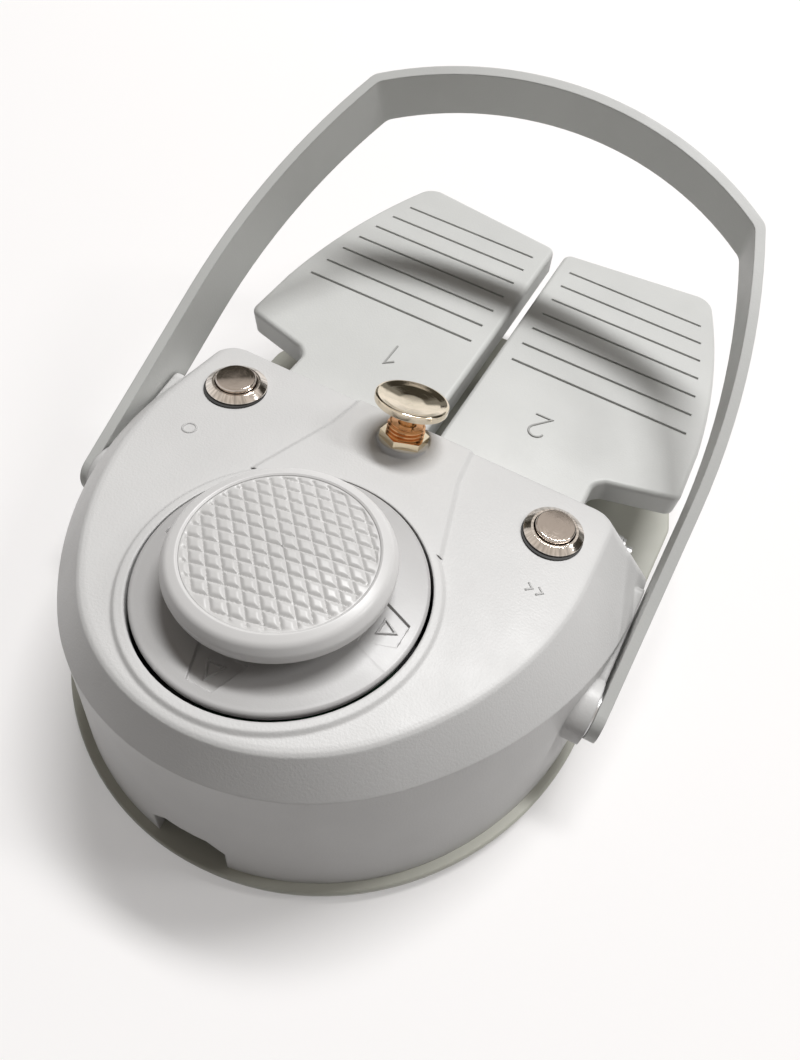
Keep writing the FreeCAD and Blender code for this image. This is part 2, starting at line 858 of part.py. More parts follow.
def guide_fin(name, sign):
    """Upright plate beside the handle, standing off the sloping wall."""
    owner = body("guide_fin_" + name)
    drawing = sketch(owner, "YZ_Plane", sign * (pad_face_x - dim.fin_thick))
    polygon(drawing, [
        (dim.fin_front_y, dim.fin_low_z), (dim.fin_rear_y, dim.fin_low_z), (dim.fin_rear_y, dim.fin_rear_z),
        (dim.fin_front_y, dim.fin_front_z)])
    pad(owner, drawing, dim.fin_thick, reverse=sign < 0)

    def end_edge(edge):
        middle = edge.valueAt((edge.FirstParameter + edge.LastParameter) / 2.0)
        return abs(edge.tangentAt(edge.FirstParameter).x) > 0.99 and middle.z > dim.fin_low_z.value + 1.0

    soften(owner, dim.fin_thick * 0.8, end_edge)
    return owner


def stop_peg(name, sign):
    """Peg under the handle's strip that holds the handle up at rest."""
    reach = dim.handle_thick + dim.pivot_gap
    peg = cylinder("handle_stop_" + name, dim.stop_radius, reach + dim.fin_thick)
    start = pad_face_x - dim.fin_thick if sign > 0 else -pad_face_x - reach
    aside = dim.handle_strip / 2.0 + dim.stop_radius + dim.shaft_fit
    y = dim.handle_pivot_y + dim.stop_distance * cosine(dim.handle_rest) + aside * sine(dim.handle_rest)
    z = dim.handle_pivot_z + dim.stop_distance * sine(dim.handle_rest) - aside * cosine(dim.handle_rest)
    return along_x(peg, start, y, z)


def top_cover():
    shell = cut("cover_shell", cover_blank(), [cover_hollow()])
    additions = [shell]
    for number, (x, y) in enumerate(boss_spots):
        deck_there = dim.deck_height - y * tangent(dim.deck_tilt)
        boss = cylinder("cover_boss_%d" % number, dim.boss_radius, deck_there - dim.boss_sink - base_top)
        additions.append(place(boss, x, y, base_top))
    for name, sign in SIDES:
        reach = dim.pivot_screw_depth + dim.pivot_pad_root
        pivot_pad = cylinder("pivot_pad_" + name, dim.pivot_pad_radius, reach)
        start = pad_face_x - reach if sign > 0 else -pad_face_x
        additions.append(along_x(pivot_pad, start, dim.handle_pivot_y, dim.handle_pivot_z))
        additions += [guide_fin(name, sign), stop_peg(name, sign)]
    additions += deck_platform()
    seat = on_centre(cylinder("centre_seat", dim.centre_seat_radius, dim.centre_seat_thick),
                     -dim.centre_seat_thick)
    beyond = box("centre_seat_trim", dim.centre_seat_radius * 4.0, dim.centre_seat_radius,
                 dim.deck_height * 2.0)
    place(beyond, -dim.centre_seat_radius * 2.0, dim.cover_end_y, 0.0)
    additions.append(cut("centre_seat_trimmed", seat, [beyond]))
    solid = fuse("cover_solid", additions)
    facing = cylinder("centre_facing", dim.centre_seat_radius, dim.centre_seat_thick)
    tools = [on_centre(facing), outlet_tool()]
    arch = box("neck_arch", dim.neck_arch_width, dim.cover_wall * 3.0, dim.neck_arch_top - base_top + 1.0)
    arch_y = dim.cover_end_y - dim.cover_wall * 2.0
    tools.append(place(arch, -dim.neck_arch_width / 2.0, arch_y, base_top - 1.0))
    bore = cylinder("ring_bore", dim.ring_bore, dim.deck_skin * 4.0)
    tools.append(on_deck(bore, 0.0, dim.ring_y, -dim.deck_skin * 2.0))
    for name, sign in SIDES:
        hole = cylinder("button_hole_" + name, dim.barrel_radius + dim.shaft_fit, dim.deck_skin * 4.0)
        tools.append(on_deck(hole, sign * button_x, 0.0, -dim.deck_skin * 2.0))
        screw_hole = cylinder("pivot_screw_hole_" + name, dim.pivot_screw_radius, dim.pivot_screw_depth + 2.0)
        start = pad_face_x - dim.pivot_screw_depth if sign > 0 else -pad_face_x - 2.0
        tools.append(along_x(screw_hole, start, dim.handle_pivot_y, dim.handle_pivot_z))
    through = dim.centre_seat_thick * 2.0
    centre_hole = cylinder("centre_hole", dim.centre_thread_radius + dim.shaft_fit, through)
    tools.append(on_centre(centre_hole, -dim.centre_seat_thick * 1.5))
    deep = dim.centre_thread_depth + dim.centre_switch_depth + dim.centre_room
    niche = cylinder("centre_niche", dim.centre_collar_radius + dim.centre_room, deep)
    tools.append(on_centre(niche, -dim.centre_seat_thick - deep))
    for number, (x, y) in enumerate(boss_spots):
        pilot = cylinder("cover_pilot_%d" % number, dim.screw_radius, dim.screw_grip + 2.0)
        tools.append(place(pilot, x, y, base_top))
    return cut("top_cover", solid, tools)


# Pedals and their hinge


def outer_bow(inset):
    """Centre of the bow of a right pedal's outer edge and the corners it runs between."""
    start = (dim.pedal_ear_x - inset, dim.pedal_widest_y)
    end = (dim.pedal_end_x - inset, dim.pedal_end_y - inset)
    across = (end[0] - start[0]) / 2.0
    along = (end[1] - start[1]) / 2.0
    half = square_root(across * across + along * along)
    back = square_root(dim.pedal_bulge * dim.pedal_bulge - half * half) / half
    centre = (start[0] + across - along * back, start[1] + along + across * back)
    return centre, start, end


def pedal_outline(owner, sign, inset, low):
    """Plan of one pedal: a neck, an ear and a bowed outer edge."""
    drawing = sketch(owner, "XY_Plane", low)
    centre, widest, end = outer_bow(inset)
    inner = dim.pedal_inner_x + inset
    corners = [
        (inner, pedal_start_y + inset),
        (inner, dim.pedal_end_inner_y - inset),
        end,
        widest,
        (dim.pedal_ear_x - inset, dim.pedal_ear_y + inset),
        (dim.pedal_ear_in_x - inset, dim.pedal_ear_in_y + inset),
        (dim.pedal_neck_x - inset, dim.pedal_neck_y + inset),
        (dim.pedal_neck_x - inset, pedal_start_y + inset),
    ]
    corners = [(sign * x, y) for x, y in corners]
    sides = []
    for number, (start, finish) in enumerate(zip(corners, corners[1:] + corners[:1])):
        if number == 2:
            ends = (finish, start) if sign > 0 else (start, finish)
            first, last = (2, 1) if sign > 0 else (1, 2)
            bow = bow_arc(drawing, (sign * centre[0], centre[1]), dim.pedal_bulge, *ends, first)
            sides.append((bow, first, last))
        else:
            side = Part.LineSegment(Vector(start[0].value, start[1].value, 0),
                                    Vector(finish[0].value, finish[1].value, 0))
            index = drawing.addGeometry(side, False)
            pin_point(drawing, index, 1, start[0], start[1])
            sides.append((index, 1, 2))
    for (item, _, last), (following, first, _) in zip(sides, sides[1:] + sides[:1]):
        drawing.addConstraint(Sketcher.Constraint("Coincident", item, last, following, first))
    return drawing


def pedal_block(name, sign):
    """Solid pedal with rounded corners and a rounded top edge."""
    owner = body(name)
    pad(owner, pedal_outline(owner, sign, as_size(0.0), dim.pedal_low), dim.pedal_height - dim.pedal_low)

    def upright(edge):
        return len(edge.Vertexes) == 2 and abs(edge.tangentAt(edge.FirstParameter).z) > 0.99

    def end_corner(edge):
        return upright(edge) and edge.Vertexes[0].Y > dim.pedal_end_y.value - 0.5

    soften(owner, dim.pedal_corner, end_corner)

    def other_corner(edge):
        spot = edge.Vertexes[0]
        outside = abs(spot.X) > dim.pedal_inner_x.value + 1.0
        beyond = spot.Y > dim.pedal_widest_y.value - 1.0
        return upright(edge) and spot.Y > pedal_start_y.value + 8.0 and not (outside and beyond)

    soften(owner, dim.pedal_inner_corner, other_corner)

    def top_rim(edge):
        return min(vertex.Z for vertex in edge.Vertexes) > dim.pedal_height.value - 0.01

    soften(owner, dim.pedal_edge, top_rim)
    return owner


def pedal(name, sign):
    rounded = pedal_block("pedal_block_" + name, sign)
    inner = body("pedal_hollow_" + name)
    below = dim.pedal_low * 0.9
    pad(inner, pedal_outline(inner, sign, dim.pedal_wall, below), dim.pedal_height - dim.pedal_skin - below)
    shell = cut("pedal_shell_" + name, rounded, [inner])
    length = dim.pedal_neck_x - dim.pedal_inner_x
    knuckle = cylinder("pedal_knuckle_" + name, dim.knuckle_radius, length)
    start = dim.pedal_inner_x if sign > 0 else -dim.pedal_neck_x
    along_x(knuckle, start, dim.hinge_y, dim.hinge_z)
    striker_low = dim.switch_low + dim.switch_height + dim.plunger_rise + dim.plunger_gap
    striker = cylinder("pedal_striker_" + name, dim.striker_radius,
                       dim.pedal_height - dim.pedal_skin + 0.5 - striker_low)
    place(striker, sign * dim.switch_x, dim.switch_y, striker_low)
    solid = fuse("pedal_solid_" + name, [shell, knuckle, striker])
    bore = cylinder("pedal_bore_" + name, dim.bush_radius, length + 2.0)
    along_x(bore, start - 1.0, dim.hinge_y, dim.hinge_z)
    tools = [bore]
    pitch = (dim.groove_last_y - dim.groove_first_y) / (dim.groove_count - 1.0)
    centre, _, _ = outer_bow(as_size(0.0))
    for number in range(int(dim.groove_count.value)):
        y = dim.groove_first_y + pitch * float(number)
        rise = y - centre[1]
        edge_x = centre[0] + square_root(dim.pedal_bulge * dim.pedal_bulge - rise * rise)
        outer_x = edge_x - dim.groove_side_gap
        groove = box("pedal_groove_%s_%d" % (name, number), outer_x - dim.groove_inner_x, dim.groove_width,
                     dim.groove_depth * 4.0)
        begin = dim.groove_inner_x if sign > 0 else -outer_x
        place(groove, begin, y - dim.groove_width / 2.0, dim.pedal_height - dim.groove_depth)
        tools.append(groove)
    return cut("pedal_" + name, solid, tools)


def pipe(name, outer, inner, length):
    """A plain tube standing on its own origin."""
    return turned(name, [(inner, 0.0), (outer, 0.0), (outer, length), (inner, length)])


def pedal_bushes(name, sign):
    bushes = []
    inner_end = dim.pedal_inner_x + 0.4
    outer_end = dim.pedal_neck_x - dim.bush_length
    for number, start in enumerate((inner_end, outer_end)):
        bush = pipe("bush_%s_%d" % (name, number), dim.bush_radius, dim.shaft_radius + dim.shaft_fit,
                    dim.bush_length)
        begin = start if sign > 0 else -start - dim.bush_length
        bushes.append(along_x(bush, begin, dim.hinge_y, dim.hinge_z))
    return group("pedal_bushes_" + name, bushes)


def hinge_bracket(name, sign):
    """Upright plate with a rounded eye for the shaft and a foot on the base."""
    owner = body("bracket_plate_" + name)
    drawing = sketch(owner, "YZ_Plane", sign * dim.bracket_inner_x)
    eye = dim.bracket_eye_radius
    shoulder = dim.hinge_z - eye
    front = dim.hinge_y - eye
    toe = dim.hinge_y + dim.bracket_toe
    polygon(drawing, [
        (front, base_top), (toe, base_top), (dim.hinge_y + eye, shoulder), (front, shoulder)])
    pad(owner, drawing, dim.bracket_thick, reverse=sign < 0)
    head = cylinder("bracket_eye_" + name, eye, dim.bracket_thick)
    begin = dim.bracket_inner_x if sign > 0 else -dim.bracket_inner_x - dim.bracket_thick
    along_x(head, begin, dim.hinge_y, dim.hinge_z)
    neck = box("bracket_neck_" + name, dim.bracket_thick, eye * 2.0, eye)
    place(neck, begin, dim.hinge_y - eye, shoulder)
    foot = box("bracket_foot_" + name, dim.bracket_foot_width, eye + dim.bracket_toe, dim.bracket_foot_thick)
    foot_x = dim.bracket_inner_x - dim.bracket_foot_width if sign > 0 else -dim.bracket_inner_x
    place(foot, foot_x, front, base_top)
    solid = fuse("bracket_solid_" + name, [owner, neck, head, foot])
    hole = cylinder("bracket_hole_" + name, dim.shaft_radius + dim.shaft_fit, dim.bracket_thick + 2.0)
    along_x(hole, begin - 1.0, dim.hinge_y, dim.hinge_z)
    screw_hole = cylinder("bracket_screw_clear_" + name, dim.small_screw_radius + dim.shaft_fit,
                          dim.bracket_foot_thick + 2.0)
    place(screw_hole, sign * bracket_screw_x, bracket_screw_y, base_top - 1.0)
    return cut("hinge_bracket_" + name, solid, [hole, screw_hole])


def middle_bracket():
    """Thin plate between the pedals that carries the middle of the shaft."""
    owner = body("middle_plate")
    drawing = sketch(owner, "YZ_Plane")
    half = dim.middle_foot / 2.0
    eye = dim.middle_eye_radius
    top = dim.hinge_z + eye
    polygon(drawing, [
        (dim.hinge_y - half, base_top), (dim.hinge_y + half, base_top), (dim.hinge_y + eye, top),
        (dim.hinge_y - eye, top)])
    pad(owner, drawing, dim.middle_thick, both_ways=True)
    foot = box("middle_foot_plate", dim.bracket_foot_width, dim.middle_foot * 2.0, dim.bracket_foot_thick)
    place(foot, -dim.bracket_foot_width / 2.0, dim.hinge_y - dim.middle_foot, base_top)
    solid = fuse("middle_solid", [owner, foot])
    hole = cylinder("middle_hole", dim.shaft_radius + dim.shaft_fit, dim.middle_thick + 2.0)
    along_x(hole, -dim.middle_thick / 2.0 - 1.0, dim.hinge_y, dim.hinge_z)
    tools = [hole]
    for number, (x, y) in enumerate(bracket_spots):
        if abs(as_size(x).value) < 1.0:
            clear = cylinder("middle_screw_clear_%d" % number, dim.small_screw_radius + dim.shaft_fit,
                             dim.bracket_foot_thick + 2.0)
            tools.append(place(clear, x, y, base_top - 1.0))
    return cut("hinge_bracket_middle", solid, tools)


def bracket_screws():
    screws = []
    for number, (x, y) in enumerate(bracket_spots):
        seat = dim.small_screw_grip + dim.bracket_foot_thick
        top = seat + dim.small_head_thick
        screw = turned("bracket_screw_%d" % number, [
            (0.0, 0.0), (dim.small_screw_radius, 0.0), (dim.small_screw_radius, seat),
            (dim.small_head_radius, seat), (dim.small_head_radius, top), (0.0, top)])
        screws.append(place(screw, x, y, base_top - dim.small_screw_grip))
    return group("bracket_screws", screws)


def hinge_pieces():
    shaft = cylinder("pedal_shaft", dim.shaft_radius, dim.shaft_half * 2.0)
    along_x(shaft, -dim.shaft_half, dim.hinge_y, dim.hinge_z)
    clips = []
    spacers = []
    outside = dim.bracket_inner_x + dim.bracket_thick + 0.2
    spacer_length = dim.bracket_inner_x - dim.pedal_neck_x - 0.6
    for name, sign in SIDES:
        clip = pipe("clip_" + name, dim.clip_radius, dim.shaft_radius, dim.clip_thick)
        begin = outside if sign > 0 else -outside - dim.clip_thick
        clips.append(along_x(clip, begin, dim.hinge_y, dim.hinge_z))
        spacer = pipe("spacer_" + name, dim.spacer_radius, dim.shaft_radius + dim.shaft_fit, spacer_length)
        begin = dim.pedal_neck_x + 0.3 if sign > 0 else -dim.pedal_neck_x - 0.3 - spacer_length
        spacers.append(along_x(spacer, begin, dim.hinge_y, dim.hinge_z))
    return [shaft, group("shaft_clips", clips), group("shaft_spacers", spacers)]


def coil(name, radius, wire, turns, height):
    """Compression spring of square wire standing on its own origin."""
    owner = body(name)
    drawing = sketch(owner, "XZ_Plane")
    half = wire / 2.0
    polygon(drawing, [
        (radius - half, 0.0), (radius + half, 0.0), (radius + half, wire), (radius - half, wire)])
    winding = owner.newObject("PartDesign::AdditiveHelix", name + "_winding")
    winding.Profile = drawing
    winding.ReferenceAxis = (drawing, ["V_Axis"])
    winding.Mode = "height-turns-angle"
    bind(winding, "Height", height - wire)
    bind(winding, "Turns", turns)
    return owner


def pedal_spring(name, sign):
    height = dim.pedal_height - dim.pedal_skin - base_top - 0.3
    spring = coil("pedal_spring_" + name, dim.spring_radius, dim.spring_wire, dim.spring_turns, height)
    return place(spring, sign * dim.spring_x, dim.spring_y, base_top + 0.02)


def switch_stand(name, sign):
    """Bent sheet stand that holds the switch up under the pedal."""
    owner = body("switch_stand_" + name)
    drawing = sketch(owner, "YZ_Plane", sign * dim.switch_x)
    sheet_thick = dim.stand_sheet
    back = dim.switch_y + dim.switch_depth / 2.0
    front = dim.switch_y - dim.switch_depth / 2.0
    polygon(drawing, [
        (back + dim.stand_foot, base_top), (back + dim.stand_foot, base_top + sheet_thick),
        (back + sheet_thick, base_top + sheet_thick), (back + sheet_thick, dim.switch_low),
        (front, dim.switch_low), (front, dim.switch_low - sheet_thick),
        (back, dim.switch_low - sheet_thick), (back, base_top)])
    pad(owner, drawing, dim.switch_length, both_ways=True)
    return owner


def pedal_switch(name, sign):
    case = box("switch_case_" + name, dim.switch_length, dim.switch_depth, dim.switch_height)
    place(case, sign * dim.switch_x - dim.switch_length / 2.0, dim.switch_y - dim.switch_depth / 2.0,
          dim.switch_low)
    well = cylinder("switch_well_" + name, dim.plunger_radius + dim.shaft_fit, dim.plunger_hidden + 3.0)
    place(well, sign * dim.switch_x, dim.switch_y,
          dim.switch_low + dim.switch_height - dim.plunger_hidden - 2.9)
    return cut("pedal_switch_" + name, case, [well])


def switch_plunger(name, sign):
    plunger = cylinder("switch_plunger_" + name, dim.plunger_radius, dim.plunger_hidden + dim.plunger_rise)
    return place(plunger, sign * dim.switch_x, dim.switch_y,
                 dim.switch_low + dim.switch_height - dim.plunger_hidden)


# Joystick, in the frame of the deck with its origin on the ring's axis


def on_ring(item, x=0.0, y=0.0, z=0.0):
    return on_deck(item, x, dim.ring_y + y, z)


def direction_disc():
    """Dished skirt that turns with the stick, with four sunk windows for arrows."""
    owner = turned("direction_disc", [
        (dim.stem_radius, 0.0), (dim.disc_radius - dim.disc_rim_wall, 0.0),
        (dim.disc_radius - dim.disc_rim_wall, dim.disc_rim_low), (dim.disc_radius, dim.disc_rim_low),
        (dim.disc_radius, dim.disc_top - 0.8), (dim.disc_radius - 0.8, dim.disc_top),
        (dim.disc_hub_radius + 1.5, dim.disc_top), (dim.disc_hub_radius, dim.disc_hub_top),
        (dim.stem_radius, dim.disc_hub_top)])
    drawing = sketch(owner, "XY_Plane", dim.disc_top)
    polygon(drawing, [
        (dim.window_inner, -dim.window_inner_half), (dim.window_outer, -dim.window_outer_half),
        (dim.window_outer, dim.window_outer_half), (dim.window_inner, dim.window_inner_half)])
    window = pocket(owner, drawing, dim.window_depth)
    doc.recompute()
    pattern = owner.newObject("PartDesign::PolarPattern", "direction_windows")
    pattern.Originals = [window]
    pattern.Axis = (next(f for f in owner.Origin.OriginFeatures if f.Role == "Z_Axis"), [""])
    pattern.Angle = 360
    pattern.Occurrences = 4
    owner.Tip = pattern
    return on_ring(owner)


def joystick_knob():
    owner = turned("joystick_knob", [
        (dim.stem_radius, dim.disc_hub_top), (dim.knob_neck_radius, dim.disc_hub_top),
        (dim.knob_neck_radius + 1.0, dim.knob_low - 1.6), (dim.knob_radius - 3.6, dim.knob_low),
        (dim.knob_radius - 0.9, dim.knob_low + 1.6), (dim.knob_radius, dim.knob_waist),
        (dim.knob_radius - 1.2, dim.knob_top - 2.0), (dim.knob_lip_radius + 0.8, dim.knob_top),
        (dim.knob_lip_radius - 0.4, dim.knob_top), (dim.knob_lip_radius - 0.8, dim.pad_seat),
        (dim.stem_radius, dim.pad_seat)])

    def rim_edge(edge):
        middle = edge.valueAt(edge.FirstParameter)
        reach = math.hypot(middle.x, middle.y)
        return reach > dim.knob_radius.value - 3.0 and edge.Curve.TypeId == "Part::GeomCircle" \
            and middle.z > dim.knob_low.value + 0.5

    soften(owner, dim.knob_round, rim_edge)
    return on_ring(owner)


def knob_pad():
    owner = turned("knob_pad", [
        (0.0, dim.pad_seat), (dim.pad_radius, dim.pad_seat), (dim.pad_radius, dim.pad_top - 1.0),
        (dim.pad_radius - 1.0, dim.pad_top), (0.0, dim.pad_top + 0.4)])
    return on_ring(owner)


def joystick_stem():
    """Rod from the knob down to the contact plate, with a hub and cross arm at the pivot."""
    rod_top = dim.pad_seat
    rod = turned("stem_rod", [
        (0.0, dim.plate_low), (dim.stem_radius, dim.plate_low), (dim.stem_radius, -dim.pivot_depth - 4.0),
        (dim.hub_radius, -dim.pivot_depth - 3.0), (dim.hub_radius, 3.0 - dim.pivot_depth),
        (dim.stem_radius, 4.0 - dim.pivot_depth), (dim.stem_radius, rod_top), (0.0, rod_top)])
    arm_owner = body("stem_arm")
    drawing = round_outline(sketch(arm_owner, "XZ_Plane"), dim.cross_radius, 0.0, -dim.pivot_depth)
    pad(arm_owner, drawing, (dim.gimbal_outer - 0.5) * 2.0, both_ways=True)
    return on_ring(fuse("joystick_stem", [rod, arm_owner]))


def gimbal_ring():
    """Ring that tilts on two trunnions along X and carries the stem's arm along Y."""
    low = -dim.pivot_depth - dim.gimbal_half_height
    high = dim.gimbal_half_height - dim.pivot_depth
    ring = turned("gimbal_band", [
        (dim.gimbal_inner, low), (dim.gimbal_outer, low), (dim.gimbal_outer, high), (dim.gimbal_inner, high)])
    trunnions = []
    for name, sign in SIDES:
        trunnion = cylinder("trunnion_" + name, dim.cross_radius, dim.trunnion_reach - dim.gimbal_inner - 1.0)
        start = dim.gimbal_inner + 1.0 if sign > 0 else -dim.trunnion_reach
        trunnions.append(along_x(trunnion, start, 0.0, -dim.pivot_depth))
    solid = fuse("gimbal_solid", [ring] + trunnions)
    hole_owner = body("gimbal_holes")
    drawing = round_outline(sketch(hole_owner, "XZ_Plane"), dim.cross_radius + dim.shaft_fit, 0.0,
                            -dim.pivot_depth)
    pad(hole_owner, drawing, dim.gimbal_outer * 2.0 + 4.0, both_ways=True)
    return on_ring(cut("gimbal_ring", solid, [hole_owner]))


def joystick_cup():
    """Cup under the deck with two posts for the gimbal and three ears for screws."""
    top = -dim.deck_skin
    floor = -dim.cup_depth
    inner = dim.ring_bore
    outer = inner + dim.cup_wall
    shell = turned("cup_shell", [
        (0.0, floor), (outer, floor), (outer, top), (inner, top), (inner, floor + dim.cup_floor),
        (0.0, floor + dim.cup_floor)])
    pieces = [shell]
    post_height = dim.cup_depth - dim.pivot_depth
    for name, sign in SIDES:
        post = box("gimbal_post_" + name, dim.lug_outer - dim.lug_inner, dim.lug_half_width * 2.0,
                   post_height)
        start = dim.lug_inner if sign > 0 else -dim.lug_outer
        pieces.append(place(post, start, -dim.lug_half_width, floor))
        eye = cylinder("gimbal_eye_" + name, dim.lug_half_width, dim.lug_outer - dim.lug_inner)
        pieces.append(along_x(eye, start, 0.0, -dim.pivot_depth))
        ear = box("cup_ear_" + name, dim.cup_ear_reach - inner - 0.5, dim.cup_ear_half * 2.0, dim.cup_flange)
        start = inner + 0.5 if sign > 0 else -dim.cup_ear_reach
        pieces.append(place(ear, start, -dim.cup_ear_half, top - dim.cup_flange))
    ear = box("cup_ear_rear", dim.cup_ear_half * 2.0, dim.cup_ear_reach - inner - 0.5, dim.cup_flange)
    pieces.append(place(ear, -dim.cup_ear_half, inner + 0.5, top - dim.cup_flange))
    solid = fuse("cup_solid", pieces)
    tools = []
    for name, sign in SIDES:
        hole = cylinder("gimbal_bearing_" + name, dim.cross_radius + dim.shaft_fit,
                        dim.lug_outer - dim.lug_inner + 2.0)
        start = dim.lug_inner - 1.0 if sign > 0 else -dim.lug_outer - 1.0
        tools.append(along_x(hole, start, 0.0, -dim.pivot_depth))
    for number, (x, y) in enumerate(ear_spots()):
        hole = cylinder("cup_screw_clear_%d" % number, dim.small_screw_radius, dim.cup_flange + 2.0)
        tools.append(place(hole, x, y, top - dim.cup_flange - 1.0))
    return on_ring(cut("joystick_cup", solid, tools))


def ear_spots():
    reach = dim.cup_ear_reach - dim.small_head_radius
    return [(reach, 0.0), (-reach, 0.0), (0.0, reach)]


def cup_screws():
    screws = []
    top = -dim.deck_skin
    for number, (x, y) in enumerate(ear_spots()):
        seat = top - dim.cup_flange
        low = seat - dim.small_head_thick
        screw = turned("cup_screw_%d" % number, [
            (0.0, low), (dim.small_head_radius, low), (dim.small_head_radius, seat),
            (dim.small_screw_radius, seat), (dim.small_screw_radius, top), (0.0, top)])
        screws.append(place(screw, x, y, 0.0))
    return on_ring(group("cup_screws", screws))


def contact_parts():
    """Plate at the foot of the stick, its spring, the board and the four switches."""
    floor = dim.cup_floor - dim.cup_depth
    plate_top = dim.plate_low
    plate = turned("contact_plate", [
        (0.0, plate_top - dim.plate_thick), (dim.plate_radius, plate_top - dim.plate_thick),
        (dim.plate_radius, plate_top), (0.0, plate_top)])
    on_ring(plate)
    board_top = floor + dim.board_thick
    board = turned("switch_board", [
        (dim.board_inner, floor), (dim.board_outer, floor), (dim.board_outer, board_top),
        (dim.board_inner, board_top)])
    notches = []
    for name, sign in SIDES:
        slot = box("board_slot_" + name, dim.lug_outer - dim.lug_inner + 1.0, dim.lug_half_width * 2.0 + 1.0,
                   dim.board_thick + 2.0)
        start = dim.lug_inner - 0.5 if sign > 0 else -dim.lug_outer - 0.5
        notches.append(place(slot, start, -dim.lug_half_width - 0.5, floor - 1.0))
    board.Label = "board_blank"
    board = on_ring(cut("switch_board_cut", board, notches))
    board.Label = "switch_board"
    spring = coil("centring_spring", dim.centring_radius, dim.centring_wire, dim.centring_turns,
                  plate_top - dim.plate_thick - floor - 0.3)
    on_ring(spring, 0.0, 0.0, floor + 0.02)
    switches = []
    for number in range(4):
        turn = Rotation(Z_AXIS, 90.0 * number)
        case = box("stick_switch_case_%d" % number, dim.micro_length, dim.micro_width, dim.micro_height)
        tip = box("stick_switch_tip_%d" % number, dim.micro_tip_gap, 2.0, 2.0)
        case.Placement = FreeCAD.Placement(Vector(0, 0, 0), Rotation(Z_AXIS, 0))
        place(case, dim.micro_inner, -dim.micro_width / 2.0, board_top)
        place(tip, dim.micro_inner - dim.micro_tip_gap + 0.4, -1.0, plate_top - dim.plate_thick)
        unit = fuse("stick_switch_%d" % number, [case, tip])
        unit.Placement = FreeCAD.Placement(Vector(0, 0, 0), turn)
        switches.append(unit)
    return [plate, board, spring, on_ring(group("joystick_switches", switches))]


# Push buttons on the deck


def on_button(item, sign, z=0.0):
    return on_deck(item, sign * button_x, 0.0, z)


def button_parts(name, sign):
    seat = dim.gasket_thick
    top = seat + dim.bezel_height
    bezel = turned("bezel_" + name, [
        (dim.button_bore, -dim.barrel_depth), (dim.barrel_radius, -dim.barrel_depth),
        (dim.barrel_radius, seat), (dim.bezel_radius, seat), (dim.bezel_radius, seat + dim.bezel_lip),
        (dim.bezel_top_radius, top),
        (dim.button_bore, top)])
    on_button(bezel, sign)
    cap_low = top - dim.button_travel - 1.2
    cap_top = dim.button_rise
    foot = -dim.barrel_depth + dim.button_travel + 0.5
    button = turned("push_button_" + name, [
        (0.0, foot), (dim.button_stem, foot), (dim.button_stem, cap_low), (dim.button_radius, cap_low),
        (dim.button_radius, cap_top - 0.6), (dim.button_radius - 0.6, cap_top), (0.0, cap_top)])
    on_button(button, sign)
    return [bezel, button]


def button_groups():
    gaskets = []
    nuts = []
    blocks = []
    for name, sign in SIDES:
        gasket = pipe("gasket_" + name, dim.bezel_radius + 0.25, dim.barrel_radius + dim.shaft_fit,
                      dim.gasket_thick)
        gaskets.append(on_button(gasket, sign))
        blank = hexagon("nut_blank_" + name, dim.button_nut_across, dim.button_nut_thick)
        hole = cylinder("nut_hole_" + name, dim.barrel_radius, dim.button_nut_thick + 2.0)
        place(hole, 0.0, 0.0, -1.0)
        nut = cut("button_nut_" + name, blank, [hole])
        nuts.append(on_button(nut, sign, -dim.deck_skin - dim.button_nut_thick))
        block = cylinder("button_block_" + name, dim.block_radius, dim.block_depth)
        blocks.append(on_button(block, sign, -dim.barrel_depth - dim.block_depth))
    return [group("button_gaskets", gaskets), group("button_nuts", nuts), group("button_blocks", blocks)]


# Centre press button, on its own leaning axis with its origin on the platform


def on_centre(item, z=0.0):
    """Puts an object on the centre button's own axis, which leans back from the deck's normal."""
    lean = dim.deck_tilt + dim.centre_lean
    y = dim.centre_y * cosine(dim.deck_tilt) + dim.platform_rise * sine(dim.deck_tilt)
    height = dim.deck_height - dim.centre_y * sine(dim.deck_tilt) + dim.platform_rise * cosine(dim.deck_tilt)
    item.Placement = FreeCAD.Placement(Vector(0, 0, 0), Rotation(X_AXIS, -1))
    bind(item, "Placement.Rotation.Angle", -lean)
    bind(item, "Placement.Base.x", as_size(0.0))
    bind(item, "Placement.Base.y", y + as_size(z) * sine(lean))
    bind(item, "Placement.Base.z", height + as_size(z) * cosine(lean))
    return item


